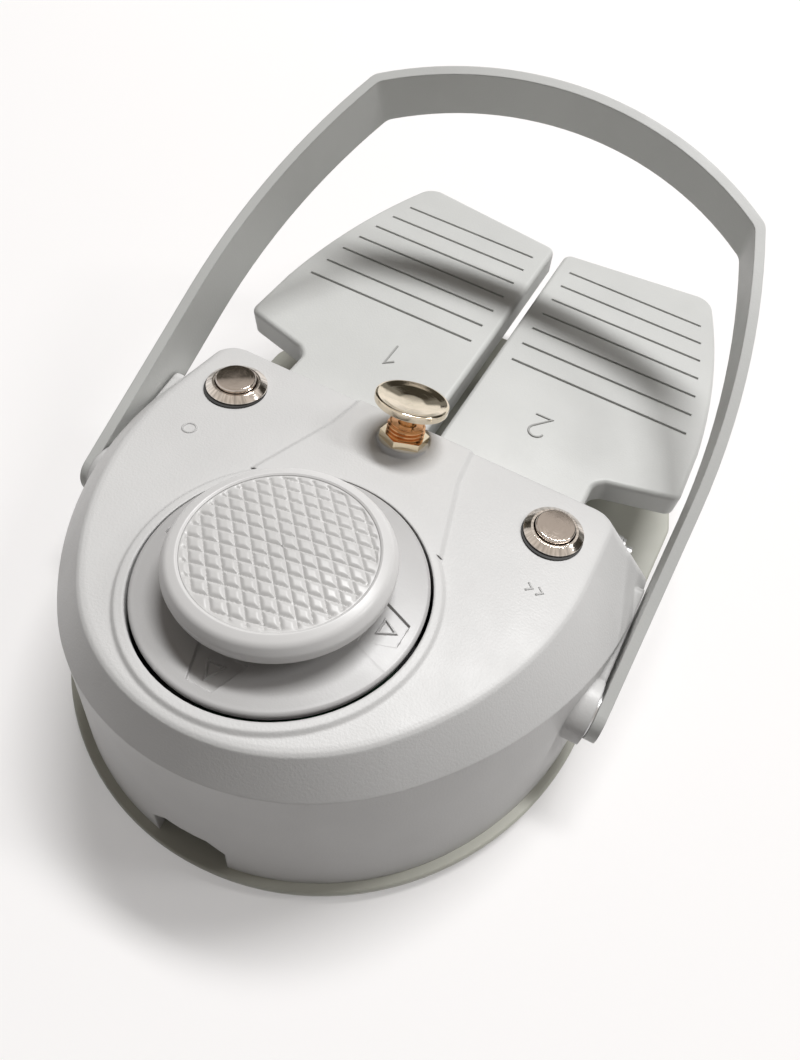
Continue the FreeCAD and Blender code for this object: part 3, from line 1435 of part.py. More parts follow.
def centre_parts():
    under = -dim.centre_seat_thick
    bushing = turned("centre_bushing", [
        (dim.centre_bore, -dim.centre_thread_depth), (dim.centre_thread_radius, -dim.centre_thread_depth),
        (dim.centre_thread_radius, under - dim.centre_collar_thick),
        (dim.centre_collar_radius, under - dim.centre_collar_thick), (dim.centre_collar_radius, under),
        (dim.centre_thread_radius, under), (dim.centre_thread_radius, dim.centre_thread_rise),
        (dim.centre_bore, dim.centre_thread_rise)])
    on_centre(bushing)
    blank = hexagon("centre_nut_blank", dim.centre_nut_across, dim.centre_nut_thick)
    hole = cylinder("centre_nut_hole", dim.centre_thread_radius, dim.centre_nut_thick + 2.0)
    place(hole, 0.0, 0.0, -1.0)
    place(blank, 0.0, 0.0, 0.0, Rotation(Z_AXIS, 30))
    nut = on_centre(cut("centre_nut", blank, [hole]))
    rim_top = dim.cap_rim_low + dim.cap_rim_thick
    foot = -dim.centre_thread_depth + dim.cap_travel + 0.3
    cap = turned("press_cap", [
        (0.0, foot), (dim.cap_stem_radius, foot), (dim.cap_stem_radius, dim.cap_cone_low),
        (dim.cap_radius * 0.62, dim.cap_rim_low - 1.6), (dim.cap_radius, dim.cap_rim_low),
        (dim.cap_radius, rim_top), (dim.cap_radius * 0.72, rim_top + dim.cap_dome * 0.55),
        (dim.cap_radius * 0.38, rim_top + dim.cap_dome * 0.9), (0.0, rim_top + dim.cap_dome)])
    on_centre(cap)
    switch = cylinder("centre_switch", dim.centre_switch_radius, dim.centre_switch_depth)
    on_centre(switch, -dim.centre_thread_depth - dim.centre_switch_depth)
    return [bushing, nut, cap, switch]


# Carrying handle and its pivots


def handle():
    """Flat strip bent into a bow, pivoted at both ends."""
    owner = body("handle")
    drawing = sketch(owner, "XY_Plane")
    bow_y = dim.handle_bow_start
    side_x = dim.handle_side_bow - handle_half
    low = -dim.handle_strip / 2.0
    loops = []
    for extra in (as_size(0.0), dim.handle_thick):
        side = dim.handle_side_bow + extra
        end = dim.handle_end_bow + extra
        corner_x = (side * side - end * end - side_x * side_x) / (2.0 * side_x)
        corner_y = bow_y + square_root(end * end - corner_x * corner_x)
        corner = (corner_x.value, corner_y.value)
        mirror = (-corner[0], corner[1])
        half = (handle_half + extra).value
        right_leg = drawing.addGeometry(
            Part.LineSegment(Vector(half, low.value, 0), Vector(half, bow_y.value, 0)), False)
        right_bow = arc(drawing, (-side_x, bow_y), side, (half, bow_y.value), corner, follows=True)
        top_bow = arc(drawing, (0.0, bow_y), end, corner, mirror)
        left_bow = arc(drawing, (side_x, bow_y), side, mirror, (-half, bow_y.value), follows=True)
        left_leg = drawing.addGeometry(
            Part.LineSegment(Vector(-half, bow_y.value, 0), Vector(-half, low.value, 0)), False)
        chain = [right_leg, right_bow, top_bow, left_bow, left_leg]
        joins = ((right_leg, 2, right_bow, 1), (right_bow, 2, top_bow, 1), (top_bow, 2, left_bow, 1),
                 (left_bow, 2, left_leg, 1))
        for first, first_end, second, second_end in joins:
            drawing.addConstraint(
                Sketcher.Constraint("Coincident", first, first_end, second, second_end))
        pin_point(drawing, right_leg, 1, handle_half + extra, low)
        pin_point(drawing, left_leg, 2, -handle_half - extra, low)
        for leg, leg_end in ((right_leg, 2), (left_leg, 1)):
            index = drawing.addConstraint(
                Sketcher.Constraint("DistanceY", -1, 1, leg, leg_end, bow_y.value))
            bind(drawing, "Constraints[%d]" % index, bow_y)
            drawing.addConstraint(Sketcher.Constraint("Vertical", leg))
        loops.append((chain, half))
    (inner, inner_half), (outer, outer_half) = loops
    for leg, leg_end, sign in ((0, 1, 1.0), (4, 2, -1.0)):
        cap_line = drawing.addGeometry(
            Part.LineSegment(Vector(sign * inner_half, low.value, 0),
                             Vector(sign * outer_half, low.value, 0)), False)
        drawing.addConstraint(Sketcher.Constraint("Coincident", cap_line, 1, inner[leg], leg_end))
        drawing.addConstraint(Sketcher.Constraint("Coincident", cap_line, 2, outer[leg], leg_end))
    pad(owner, drawing, dim.handle_strip, both_ways=True)

    def leg_end_edge(edge):
        middle = edge.valueAt((edge.FirstParameter + edge.LastParameter) / 2.0)
        return abs(middle.y - low.value) < 0.01 and abs(edge.tangentAt(edge.FirstParameter).x) > 0.99

    soften(owner, dim.handle_end_round, leg_end_edge)

    def bend_edge(edge):
        middle = edge.valueAt((edge.FirstParameter + edge.LastParameter) / 2.0)
        upright = abs(edge.tangentAt(edge.FirstParameter).z) > 0.99
        return upright and middle.y > bow_y.value + 40.0

    soften(owner, dim.handle_corner, bend_edge)
    holes = []
    for name, sign in SIDES:
        hole = cylinder("handle_eye_" + name, dim.pivot_screw_radius + dim.pivot_fit, dim.handle_thick + 2.0)
        start = handle_half - 1.0 if sign > 0 else -handle_half - dim.handle_thick - 1.0
        holes.append(along_x(hole, start, 0.0, 0.0))
        deep = dim.pivot_head_thick + dim.washer_gap
        seat = cylinder("handle_seat_" + name, dim.pivot_head_radius + dim.pivot_fit, deep + 2.0)
        start = handle_half + dim.handle_thick - deep if sign > 0 else -handle_half - dim.handle_thick - 2.0
        holes.append(along_x(seat, start, 0.0, 0.0))
    owner.Label = "handle_strip_blank"
    made = cut("handle_bow", owner, holes)
    made.Label = "handle"
    made.Placement = FreeCAD.Placement(Vector(0, 0, 0), Rotation(X_AXIS, 1))
    bind(made, "Placement.Rotation.Angle", dim.handle_rest)
    bind(made, "Placement.Base.y", dim.handle_pivot_y)
    bind(made, "Placement.Base.z", dim.handle_pivot_z)
    return made


def handle_pivots():
    screws = []
    washers = []
    gap = handle_half - pad_face_x
    for name, sign in SIDES:
        inner_end = -dim.pivot_screw_depth
        face = gap + dim.handle_thick
        seat = face - dim.pivot_head_thick
        screw = turned("handle_screw_" + name, [
            (0.0, inner_end), (dim.pivot_screw_radius, inner_end), (dim.pivot_screw_radius, seat),
            (dim.pivot_head_radius, seat), (dim.pivot_head_radius, face), (0.0, face)])
        washer = pipe("handle_washer_" + name, dim.washer_radius, dim.pivot_screw_radius,
                      gap - dim.washer_gap)
        for item, pile in ((screw, screws), (washer, washers)):
            item.Placement = FreeCAD.Placement(Vector(0, 0, 0), Rotation(Y_AXIS, 90.0 * sign))
            bind(item, "Placement.Base.x", sign * pad_face_x)
            bind(item, "Placement.Base.y", dim.handle_pivot_y)
            bind(item, "Placement.Base.z", dim.handle_pivot_z)
            pile.append(item)
    return [group("handle_screws", screws), group("handle_washers", washers)]


# Wiring pieces behind the cable outlet


def terminal_block():
    case = box("terminal_case", dim.terminal_length, dim.terminal_depth, dim.terminal_height)
    place(case, -dim.terminal_length / 2.0, dim.terminal_y - dim.terminal_depth / 2.0, base_top)
    wells = []
    count = int(dim.terminal_screws.value)
    pitch = dim.terminal_length / dim.terminal_screws
    for number in range(count):
        well = cylinder("terminal_well_%d" % number, dim.small_screw_radius, dim.terminal_height / 3.0)
        x = pitch * (number + 0.5) - dim.terminal_length / 2.0
        wells.append(place(well, x, dim.terminal_y, base_top + dim.terminal_height * 0.8))
    return cut("terminal_block", case, wells)


def cable_clamp():
    """Saddle that holds the cable down behind the outlet."""
    owner = body("clamp_blank")
    drawing = sketch(owner, "XZ_Plane", -dim.clamp_y)
    half = dim.clamp_length / 2.0
    crown = dim.clamp_bore + dim.stand_sheet
    polygon(drawing, [
        (-half, base_top), (half, base_top), (half, base_top + dim.stand_sheet),
        (crown, base_top + dim.stand_sheet), (crown * 0.7, base_top + dim.clamp_height),
        (-crown * 0.7, base_top + dim.clamp_height), (-crown, base_top + dim.stand_sheet),
        (-half, base_top + dim.stand_sheet)])
    pad(owner, drawing, dim.clamp_depth, both_ways=True)
    passage = cylinder("clamp_passage", dim.clamp_bore, dim.clamp_depth + 4.0)
    place(passage, 0.0, dim.clamp_y + dim.clamp_depth / 2.0 + 2.0, base_top + dim.stand_sheet,
          Rotation(X_AXIS, 90))
    return cut("cable_clamp", owner, [passage])


def assembly():
    pieces = [base_plate(), rubber_feet(), base_screws(), top_cover(), middle_bracket(), bracket_screws()]
    pieces += hinge_pieces()
    for name, sign in SIDES:
        pieces += [hinge_bracket(name, sign), pedal(name, sign), pedal_bushes(name, sign),
                   pedal_spring(name, sign), switch_stand(name, sign), pedal_switch(name, sign),
                   switch_plunger(name, sign)]
        pieces += button_parts(name, sign)
    pieces += [direction_disc(), joystick_knob(), knob_pad(), joystick_stem(), gimbal_ring(), joystick_cup(),
               cup_screws()]
    pieces += contact_parts()
    pieces += button_groups()
    pieces += centre_parts()
    pieces.append(handle())
    pieces += handle_pivots()
    pieces += [terminal_block(), cable_clamp()]
    return pieces


def centre_footprint(items):
    """Moves every sub-part so that the origin lies on the floor under the footprint's middle."""
    for item in items:
        before = bound_sizes.get((item.Name, "Placement.Base.y"), as_size(0.0))
        bind(item, "Placement.Base.y", before - footprint_middle_y)


pieces = assembly()
centre_footprint(pieces)
doc.recompute()
faults = []
for item in doc.Objects:
    if "Invalid" in item.State or "Error" in item.State:
        faults.append("%s is %s" % (item.Name, item.State))
for piece in pieces:
    if piece.Shape.isNull() or not piece.Shape.isValid() or piece.Shape.Volume <= 0.0:
        faults.append("%s has a bad shape" % piece.Label)
if faults:
    raise RuntimeError("; ".join(faults))
for piece in pieces:
    piece.Shape.exportStep("parts/%s.step" % piece.Label)
print("%d sub-parts written" % len(pieces))
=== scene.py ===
import json
import math

import bmesh
import bpy
from mathutils import Matrix, Vector

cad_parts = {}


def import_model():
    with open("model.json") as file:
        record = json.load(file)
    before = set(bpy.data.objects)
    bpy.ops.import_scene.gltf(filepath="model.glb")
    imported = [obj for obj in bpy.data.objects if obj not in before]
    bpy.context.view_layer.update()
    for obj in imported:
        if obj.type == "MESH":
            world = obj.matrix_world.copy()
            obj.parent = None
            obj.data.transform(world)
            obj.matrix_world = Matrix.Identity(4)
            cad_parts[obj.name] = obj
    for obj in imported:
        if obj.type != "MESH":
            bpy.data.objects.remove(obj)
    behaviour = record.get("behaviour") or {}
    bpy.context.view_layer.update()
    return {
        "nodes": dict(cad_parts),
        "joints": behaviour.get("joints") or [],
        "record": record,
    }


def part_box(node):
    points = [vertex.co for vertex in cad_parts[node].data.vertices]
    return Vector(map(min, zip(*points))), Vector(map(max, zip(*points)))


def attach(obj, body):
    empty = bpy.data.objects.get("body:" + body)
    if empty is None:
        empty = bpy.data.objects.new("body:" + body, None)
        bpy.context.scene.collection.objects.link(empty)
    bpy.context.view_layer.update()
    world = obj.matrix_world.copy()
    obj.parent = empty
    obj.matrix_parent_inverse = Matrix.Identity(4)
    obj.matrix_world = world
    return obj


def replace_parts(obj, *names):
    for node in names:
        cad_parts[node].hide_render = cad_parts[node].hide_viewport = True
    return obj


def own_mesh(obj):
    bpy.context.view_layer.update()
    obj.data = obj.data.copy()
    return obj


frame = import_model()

MM = 0.001
NODES = frame["nodes"]
JOINTS = {joint["name"]: joint for joint in frame["joints"]}
SLOT_OF = {part["node"]: part["material_slot"] for part in frame["record"]["subparts"]}
X_AXIS = Vector((1.0, 0.0, 0.0))

# The deck's tilted frame, from the stick's pivot and side-to-side axis.
# RING is the middle of the stick's round opening, in the plane of the deck.

DECK_Y = Vector(JOINTS["stick_tilt_side_to_side"]["axis"])
DECK_NORMAL = X_AXIS.cross(DECK_Y)
PIVOT = Vector(JOINTS["stick_tilt_side_to_side"]["pos_m"])
PIVOT_DEPTH = 8.0 * MM
RING = PIVOT + DECK_NORMAL * PIVOT_DEPTH


def axes_matrix(x, y, z, origin):
    """A frame from its three axes and its origin."""
    return Matrix((
        (x.x, y.x, z.x, origin.x),
        (x.y, y.y, z.y, origin.y),
        (x.z, y.z, z.z, origin.z),
        (0.0, 0.0, 0.0, 1.0)))


def deck_matrix(origin, normal=DECK_NORMAL):
    """A frame with its Z along a normal in the plane of symmetry and its X across."""
    return axes_matrix(X_AXIS, normal.cross(X_AXIS), normal, origin)


def deck_point(node, height):
    """The point on a deck part's own axis at a height in mm above the deck plane."""
    low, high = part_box(node)
    middle = (low + high) / 2.0
    rise = (middle - RING).dot(DECK_NORMAL)
    return middle + DECK_NORMAL * (height * MM - rise)


def clamp(value):
    return min(1.0, max(0.0, value))


def ease(value):
    """A smooth step from 0 to 1."""
    value = clamp(value)
    return value * value * (3.0 - 2.0 * value)


# Materials


class Shade:
    """Builds one node material around a Principled shader."""

    def __init__(self, name, color, roughness, metallic=0.0):
        self.material = bpy.data.materials.new(name)
        self.material.use_nodes = True
        self.tree = self.material.node_tree
        self.shader = self.tree.nodes["Principled BSDF"]
        self.set("Base Color", (*color, 1.0))
        self.set("Roughness", roughness)
        self.set("Metallic", metallic)
        self.coords = self.node("ShaderNodeTexCoord").outputs["Object"]
        self.normal = None

    def node(self, kind, **values):
        made = self.tree.nodes.new(kind)
        for key, value in values.items():
            setattr(made, key, value)
        return made

    def set(self, socket, value):
        self.shader.inputs[socket].default_value = value

    def link(self, source, target):
        self.tree.links.new(source, target)

    def noise(self, scale, detail=2.0, source=None):
        """Noise over object space, or over another source of coordinates."""
        made = self.node("ShaderNodeTexNoise")
        made.inputs["Scale"].default_value = scale
        made.inputs["Detail"].default_value = detail
        self.link(source or self.coords, made.inputs["Vector"])
        return made.outputs["Fac"]

    def turned_noise(self, around, along):
        """Noise in a turned piece's own angle and path length."""
        turned = self.node("ShaderNodeAttribute", attribute_name="turned").outputs["Vector"]
        mapping = self.node("ShaderNodeMapping")
        mapping.inputs["Scale"].default_value = (around, around, along)
        self.link(turned, mapping.inputs["Vector"])
        return self.noise(1.0, 2.0, mapping.outputs["Vector"])

    def ramp(self, factor, low, high, first, second):
        """Maps a factor from one range onto another."""
        made = self.node("ShaderNodeMapRange")
        made.inputs["From Min"].default_value = low
        made.inputs["From Max"].default_value = high
        made.inputs["To Min"].default_value = first
        made.inputs["To Max"].default_value = second
        self.link(factor, made.inputs["Value"])
        return made.outputs["Result"]

    def tint(self, factor, first, second):
        """Base colour between two colours by a factor."""
        made = self.node("ShaderNodeMix", data_type="RGBA")
        made.inputs["A"].default_value = (*first, 1.0)
        made.inputs["B"].default_value = (*second, 1.0)
        self.link(factor, made.inputs["Factor"])
        self.link(made.outputs["Result"], self.shader.inputs["Base Color"])

    def rough(self, factor, first, second):
        """Roughness between two values by a noise factor."""
        self.link(self.ramp(factor, 0.3, 0.7, first, second), self.shader.inputs["Roughness"])

    def bump(self, factor, distance):
        """Relief of a given depth in metres, over the normal found so far."""
        made = self.node("ShaderNodeBump")
        made.inputs["Strength"].default_value = 1.0
        made.inputs["Distance"].default_value = distance
        self.link(factor, made.inputs["Height"])
        if self.normal is not None:
            self.link(self.normal, made.inputs["Normal"])
        self.normal = made.outputs["Normal"]
        self.link(self.normal, self.shader.inputs["Normal"])


def scaled(color, factor):
    return tuple(channel * factor for channel in color)


def plastic(name, color, roughness, grain, depth, variation=0.03, edge=0.0):
    """Moulded plastic with a fine spark-eroded grain, faint unevenness and softened edges."""
    shade = Shade(name, color, roughness)
    if edge > 0.0:
        bevel = shade.node("ShaderNodeBevel", samples=6)
        bevel.inputs["Radius"].default_value = edge
        shade.normal = bevel.outputs["Normal"]
    cloud = shade.ramp(shade.noise(22.0, 4.0), 0.35, 0.65, 0.0, 1.0)
    shade.tint(cloud, scaled(color, 1.0 - variation), scaled(color, 1.0 + variation))
    shade.rough(shade.noise(60.0, 3.0), roughness - 0.04, roughness + 0.05)
    shade.bump(shade.noise(grain), depth)
    shade.set("Specular IOR Level", 0.5)
    return shade.material


def metal(name, color, roughness, grain=900.0, depth=0.000004):
    """Bare or plated metal with fine tool marks and faint smears."""
    shade = Shade(name, color, roughness, 1.0)
    shade.tint(shade.noise(90.0, 4.0), scaled(color, 0.93), scaled(color, 1.05))
    shade.rough(shade.noise(140.0, 3.0), max(0.03, roughness - 0.04), roughness + 0.06)
    shade.bump(shade.noise(grain), depth)
    return shade.material


def turned_metal(name, color, low, high, roughness, painted_reflection_streaks=10.0):
    """Turned metal: rings of fine tool marks, and painted reflection streaks across them between two shares
    of its colour, standing in for the radial highlights of a turned face.
    """
    shade = Shade(name, color, roughness, 1.0)
    # Painted reflection: the streaks darken and lighten the colour where a turned face would throw radial
    # highlights.
    painted_reflection_streak = shade.ramp(shade.turned_noise(painted_reflection_streaks, 0.15), 0.36, 0.64, 0.0, 1.0)
    shade.tint(painted_reflection_streak, scaled(color, low), scaled(color, high))
    shade.rough(shade.turned_noise(3.0, 2.0), max(0.03, roughness - 0.03), roughness + 0.05)
    shade.bump(shade.turned_noise(1.0, 9.0), 0.000012)
    return shade.material


MATERIALS = {
    "cover_plastic": plastic("housing_plastic", (0.62, 0.616, 0.61), roughness=0.42,
                             grain=1300.0, depth=0.00007, edge=0.0012),
    "knob_plastic": plastic("knob_plastic", (0.68, 0.672, 0.666), roughness=0.32,
                            grain=1500.0, depth=0.000006),
    "pad_rubber": plastic("thumb_pad_plastic", (0.605, 0.598, 0.59), roughness=0.36,
                          grain=1800.0, depth=0.00001),
    "base_plastic": plastic("base_plastic", (0.50, 0.50, 0.44), roughness=0.45,
                            grain=1600.0, depth=0.00003),
    "rubber": plastic("black_rubber", (0.02, 0.02, 0.02), roughness=0.6,
                      grain=2200.0, depth=0.00003, variation=0.2),
    # The polished nickel's streaks, from 0.72 to 1.10 of its colour, are painted reflection.
    "bright_metal": turned_metal("polished_nickel", (0.76, 0.70, 0.64), low=0.72, high=1.10, roughness=0.10),
    "satin_metal": turned_metal("satin_nickel", (0.52, 0.46, 0.41), low=0.985, high=1.015,
                                roughness=0.09, painted_reflection_streaks=1.0),
    "brass_metal": metal("pale_brass", (0.86, 0.74, 0.54), roughness=0.16),
    "steel": metal("zinc_steel", (0.55, 0.55, 0.55), roughness=0.32, grain=1200.0, depth=0.00001),
    "inner_plastic": plastic("black_plastic", (0.03, 0.03, 0.032), roughness=0.45,
                             grain=1800.0, depth=0.00002, variation=0.15),
    "board": plastic("board_laminate", (0.03, 0.13, 0.06), roughness=0.4,
                     grain=900.0, depth=0.00001, variation=0.2),
}
PEDAL_PLASTIC = plastic("pedal_plastic", (0.595, 0.60, 0.585), roughness=0.44,
                        grain=1300.0, depth=0.00005, edge=0.0007)
DISC_PLASTIC = plastic("disc_plastic", (0.47, 0.464, 0.46), roughness=0.36, grain=1500.0, depth=0.00002)
# Painted shade: the pedal marks are darker than the pedals to stand in for the shadow in engraved strokes.
SHADED_MARK_PLASTIC = plastic("mark_plastic_painted_shade", (0.36, 0.36, 0.35), roughness=0.5, grain=1300.0, depth=0.00003)
COPPER = metal("copper_plate", (0.62, 0.33, 0.16), roughness=0.16)
WARM_CHROME = turned_metal("warm_chrome", (0.76, 0.67, 0.53), low=0.96, high=1.04,
                           roughness=0.06, painted_reflection_streaks=3.0)
PEDAL_PLASTIC_NODES = ("pedal_left", "pedal_right", "handle")
NODE_SMOOTH_ANGLE = 28.0


def smooth_by_angle(obj, degrees):
    """Smooth shading with sharp edges kept where faces meet at more than the angle."""
    obj.data.shade_smooth()
    obj.data.set_sharp_from_angle(angle=math.radians(degrees))


for node_name, node in NODES.items():
    node.data.materials.clear()
    node.data.materials.append(MATERIALS[SLOT_OF[node_name]])
    smooth_by_angle(node, NODE_SMOOTH_ANGLE)
for node_name in PEDAL_PLASTIC_NODES:
    NODES[node_name].data.materials[0] = PEDAL_PLASTIC


# Mesh building


def make_object(name, vertices, faces, matrix, body, slot_name, smooth=35.0, material=None):
    """A finished piece from a mesh in a frame's own coordinates, riding on a body."""
    mesh = bpy.data.meshes.new(name)
    mesh.from_pydata([matrix @ Vector(vertex) for vertex in vertices], [], faces)
    mesh.validate()
    obj = bpy.data.objects.new(name, mesh)
    bpy.context.scene.collection.objects.link(obj)
    form = bmesh.new()
    form.from_mesh(mesh)
    bmesh.ops.recalc_face_normals(form, faces=form.faces)
    form.to_mesh(mesh)
    form.free()
    smooth_by_angle(obj, smooth)
    mesh.materials.append(material or MATERIALS[slot_name])
    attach(obj, body)
    return obj


def mark_turned(obj, values):
    """Stores each vertex's place around and along a turned piece for its material."""
    layer = obj.data.attributes.new("turned", "FLOAT_VECTOR", "POINT")
    layer.data.foreach_set("vector", [number for value in values for number in value])


ARC_STEPS = 6
ON_AXIS = 1e-6


def rounded_path(corners):
    """Corner list (r, z, radius) in mm to points with each corner rounded by an arc."""
    points = []
    last = len(corners) - 1
    for index, (r, z, radius) in enumerate(corners):
        here = Vector((r, z))
        if radius == 0.0 or index in (0, last):
            points.append(here)
            continue
        before = (Vector(corners[index - 1][:2]) - here).normalized()
        after = (Vector(corners[index + 1][:2]) - here).normalized()
        half_angle = before.angle(after) / 2.0
        back = radius / math.tan(half_angle)
        start = here + before * back
        end = here + after * back
        middle = here + (before + after).normalized() * (radius / math.sin(half_angle))
        sweep = (end - middle).angle_signed(start - middle)
        for step in range(ARC_STEPS + 1):
            turn = Matrix.Rotation(sweep * step / ARC_STEPS, 2)
            points.append(middle + turn @ (start - middle))
    return points


def lathe(name, corners, matrix, body, slot_name, segments=128, smooth=35.0, material=None):
    """Turned piece from a rounded (r, z, radius) profile in mm, closed on its axis if r is 0."""
    path = rounded_path(corners)
    vertices = []
    turned = []
    rings = []
    length = 0.0
    before = path[0]
    for point in path:
        length += (point - before).length
        before = point
        if point.x < ON_AXIS:
            rings.append([len(vertices)])
            vertices.append((0.0, 0.0, point.y * MM))
            turned.append((0.0, 0.0, length))
            continue
        ring = []
        for step in range(segments):
            angle = 2.0 * math.pi * step / segments
            ring.append(len(vertices))
            vertices.append((point.x * MM * math.cos(angle), point.x * MM * math.sin(angle), point.y * MM))
            turned.append((math.cos(angle), math.sin(angle), length))
        rings.append(ring)
    faces = []
    for low, high in zip(rings, rings[1:]):
        for step in range(segments):
            after = (step + 1) % segments
            if len(low) == 1:
                faces.append((low[0], high[step], high[after]))
            elif len(high) == 1:
                faces.append((low[step], low[after], high[0]))
            else:
                faces.append((low[step], low[after], high[after], high[step]))
    if len(rings[0]) > 1 and len(rings[-1]) > 1:
        first, last = rings[0], rings[-1]
        for step in range(segments):
            after = (step + 1) % segments
            faces.append((last[step], last[after], first[after], first[step]))
    obj = make_object(name, vertices, faces, matrix, body, slot_name, smooth, material)
    mark_turned(obj, turned)
    return obj


# Joystick head: knob, knurled thumb pad and dished disc.
# A turned profile's corners are (radius, height above the deck, corner radius) in mm.

RING_FRAME = deck_matrix(RING)
KNOB = [
    (4.0, 4.0, 0.0), (20.0, 4.0, 0.0), (20.6, 7.4, 1.4), (28.5, 8.3, 2.0),
    (33.2, 10.6, 3.0), (33.6, 14.8, 3.2), (31.6, 18.3, 3.0), (28.6, 19.25, 0.5),
    (27.85, 18.8, 0.2), (27.8, 16.0, 0.0), (4.0, 16.0, 0.0)]
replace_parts(lathe("joystick_knob_turned", KNOB, RING_FRAME, "joystick", "knob_plastic", segments=160),
            "joystick_knob")

PAD_RADIUS = 27.75
PAD_UNDERSIDE = 16.0
PAD_EDGE = 18.62
PAD_DOME = 1.5
PAD_BORDER = 0.5
PAD_FADE = 0.6
PAD_RING_PITCH = 0.35
PAD_STEPS = 480
KNURL_PITCH = 4.2
KNURL_DEPTH = 0.8
KNURL_ANGLES = (42.5, 102.5)
KNURL_STEEPNESS = 1.7
KNURL_ROUNDING = 1.7


def knurl_height(x, y):
    """Height of the pyramids between two crossing sets of V grooves, from 0 to 1."""
    depth = 1.0
    for degrees in KNURL_ANGLES:
        angle = math.radians(degrees)
        along = (x * math.cos(angle) + y * math.sin(angle)) / KNURL_PITCH
        depth = min(depth, 1.0 - abs(2.0 * (along - math.floor(along)) - 1.0))
    rise = min(1.0, depth * KNURL_STEEPNESS)
    return 1.0 - (1.0 - rise) ** KNURL_ROUNDING


def thumb_pad():
    """Domed disc whose top is cut by the crossing grooves, inside a plain border."""
    count = int(PAD_RADIUS / PAD_RING_PITCH)
    rings = []
    vertices = [(0.0, 0.0, (PAD_EDGE + PAD_DOME) * MM)]
    for ring in range(1, count + 1):
        radius = PAD_RADIUS * ring / count
        dome = PAD_EDGE + PAD_DOME * (1.0 - (radius / PAD_RADIUS) ** 2)
        fade = clamp((PAD_RADIUS - PAD_BORDER - radius) / PAD_FADE)
        indices = []
        for step in range(PAD_STEPS):
            angle = 2.0 * math.pi * step / PAD_STEPS
            x = radius * math.cos(angle)
            y = radius * math.sin(angle)
            z = dome - KNURL_DEPTH * fade * (1.0 - knurl_height(x, y))
            indices.append(len(vertices))
            vertices.append((x * MM, y * MM, z * MM))
        rings.append(indices)
    low = []
    for step in range(PAD_STEPS):
        angle = 2.0 * math.pi * step / PAD_STEPS
        low.append(len(vertices))
        vertices.append((PAD_RADIUS * MM * math.cos(angle), PAD_RADIUS * MM * math.sin(angle),
                         PAD_UNDERSIDE * MM))
    rings.append(low)
    faces = [(0, rings[0][step], rings[0][(step + 1) % PAD_STEPS]) for step in range(PAD_STEPS)]
    for inner, outer in zip(rings, rings[1:]):
        for step in range(PAD_STEPS):
            after = (step + 1) % PAD_STEPS
            faces.append((inner[step], outer[step], outer[after], inner[after]))
    faces.append(tuple(reversed(low)))
    return make_object("thumb_pad_knurled", vertices, faces, RING_FRAME, "joystick", "pad_rubber", 30.0)


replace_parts(thumb_pad(), "knob_pad")

# The disc's windows and the triangle outline in each, measured along and across the window's own radius

WINDOW_INNER, WINDOW_OUTER = 29.5, 40.6
WINDOW_INNER_HALF, WINDOW_OUTER_HALF = 8.3, 4.2
WINDOW_DEPTH = 1.0
WINDOW_FLANK = 0.94
WINDOW_WALL = 0.35
ARROW_BACK, ARROW_TIP, ARROW_HALF = 32.6, 38.8, 3.4
ARROW_LINE = 0.85
ARROW_RISE = 0.65
ARROW_FLANK = 0.88
ARROW_WALL = 0.25

DISC_BORE = 4.0
DISC_SKIRT = [(41.5, 0.0), (41.5, -1.0), (43.5, -1.0), (43.9, -0.6)]
DISC_HUB = [(20.8, 4.6), (20.4, 5.0)]
DISC_ROLL_CENTRE = (43.0, 1.6)
DISC_ROLL_RADIUS = 1.2
DISC_TOP_OUTER, DISC_TOP_INNER = 42.6, 21.6
DISC_TOP_EDGE = 2.8
DISC_TOP_DISH = 1.5
DISC_WINDOW_RINGS = (28.0, 42.2)
DISC_TOP_LEAST = 2.7


def window_depth(x, y):
    """Depth of the four sunk windows with a raised triangle outline in each."""
    if abs(y) > abs(x):
        x, y = abs(y), x
    else:
        x = abs(x)
    share = (x - WINDOW_INNER) / (WINDOW_OUTER - WINDOW_INNER)
    half = WINDOW_INNER_HALF + (WINDOW_OUTER_HALF - WINDOW_INNER_HALF) * share
    inside = min(x - WINDOW_INNER, WINDOW_OUTER - x, (half - abs(y)) * WINDOW_FLANK)
    depth = WINDOW_DEPTH * ease(inside / WINDOW_WALL)
    side = (ARROW_TIP - x) / (ARROW_TIP - ARROW_BACK) * ARROW_HALF
    within = min(x - ARROW_BACK, (side - abs(y)) * ARROW_FLANK)
    line = min(within, ARROW_LINE - within)
    return depth - ARROW_RISE * ease(line / ARROW_WALL)


def disc_turns():
    """Angles round the disc in degrees, close together over each window and wide between them."""
    over_window = [-17.0 + 0.22 * step for step in range(155)]
    between = [17.5 + 1.5 * step for step in range(38)]
    return [quarter + turn for quarter in (0.0, 90.0, 180.0, 270.0) for turn in over_window + between]


def disc_profile():
    """Closed (r, z) profile: flat underside, short skirt, rolled edge, sloped top and hub."""
    centre_r, centre_z = DISC_ROLL_CENTRE
    edge = [(centre_r + DISC_ROLL_RADIUS * math.cos(math.radians(turn)),
             centre_z + DISC_ROLL_RADIUS * math.sin(math.radians(turn))) for turn in range(0, 91, 10)]
    over_windows = [41.0 - 0.2 * step for step in range(60)]
    top = [(r, DISC_TOP_EDGE + DISC_TOP_DISH * (DISC_TOP_OUTER - r) / (DISC_TOP_OUTER - DISC_TOP_INNER))
           for r in [DISC_TOP_OUTER, 41.8] + over_windows + [28.8, 27.0, 25.0, 23.0, DISC_TOP_INNER]]
    return [(DISC_BORE, 0.0)] + DISC_SKIRT + edge + top + DISC_HUB + [(DISC_BORE, 5.0)]


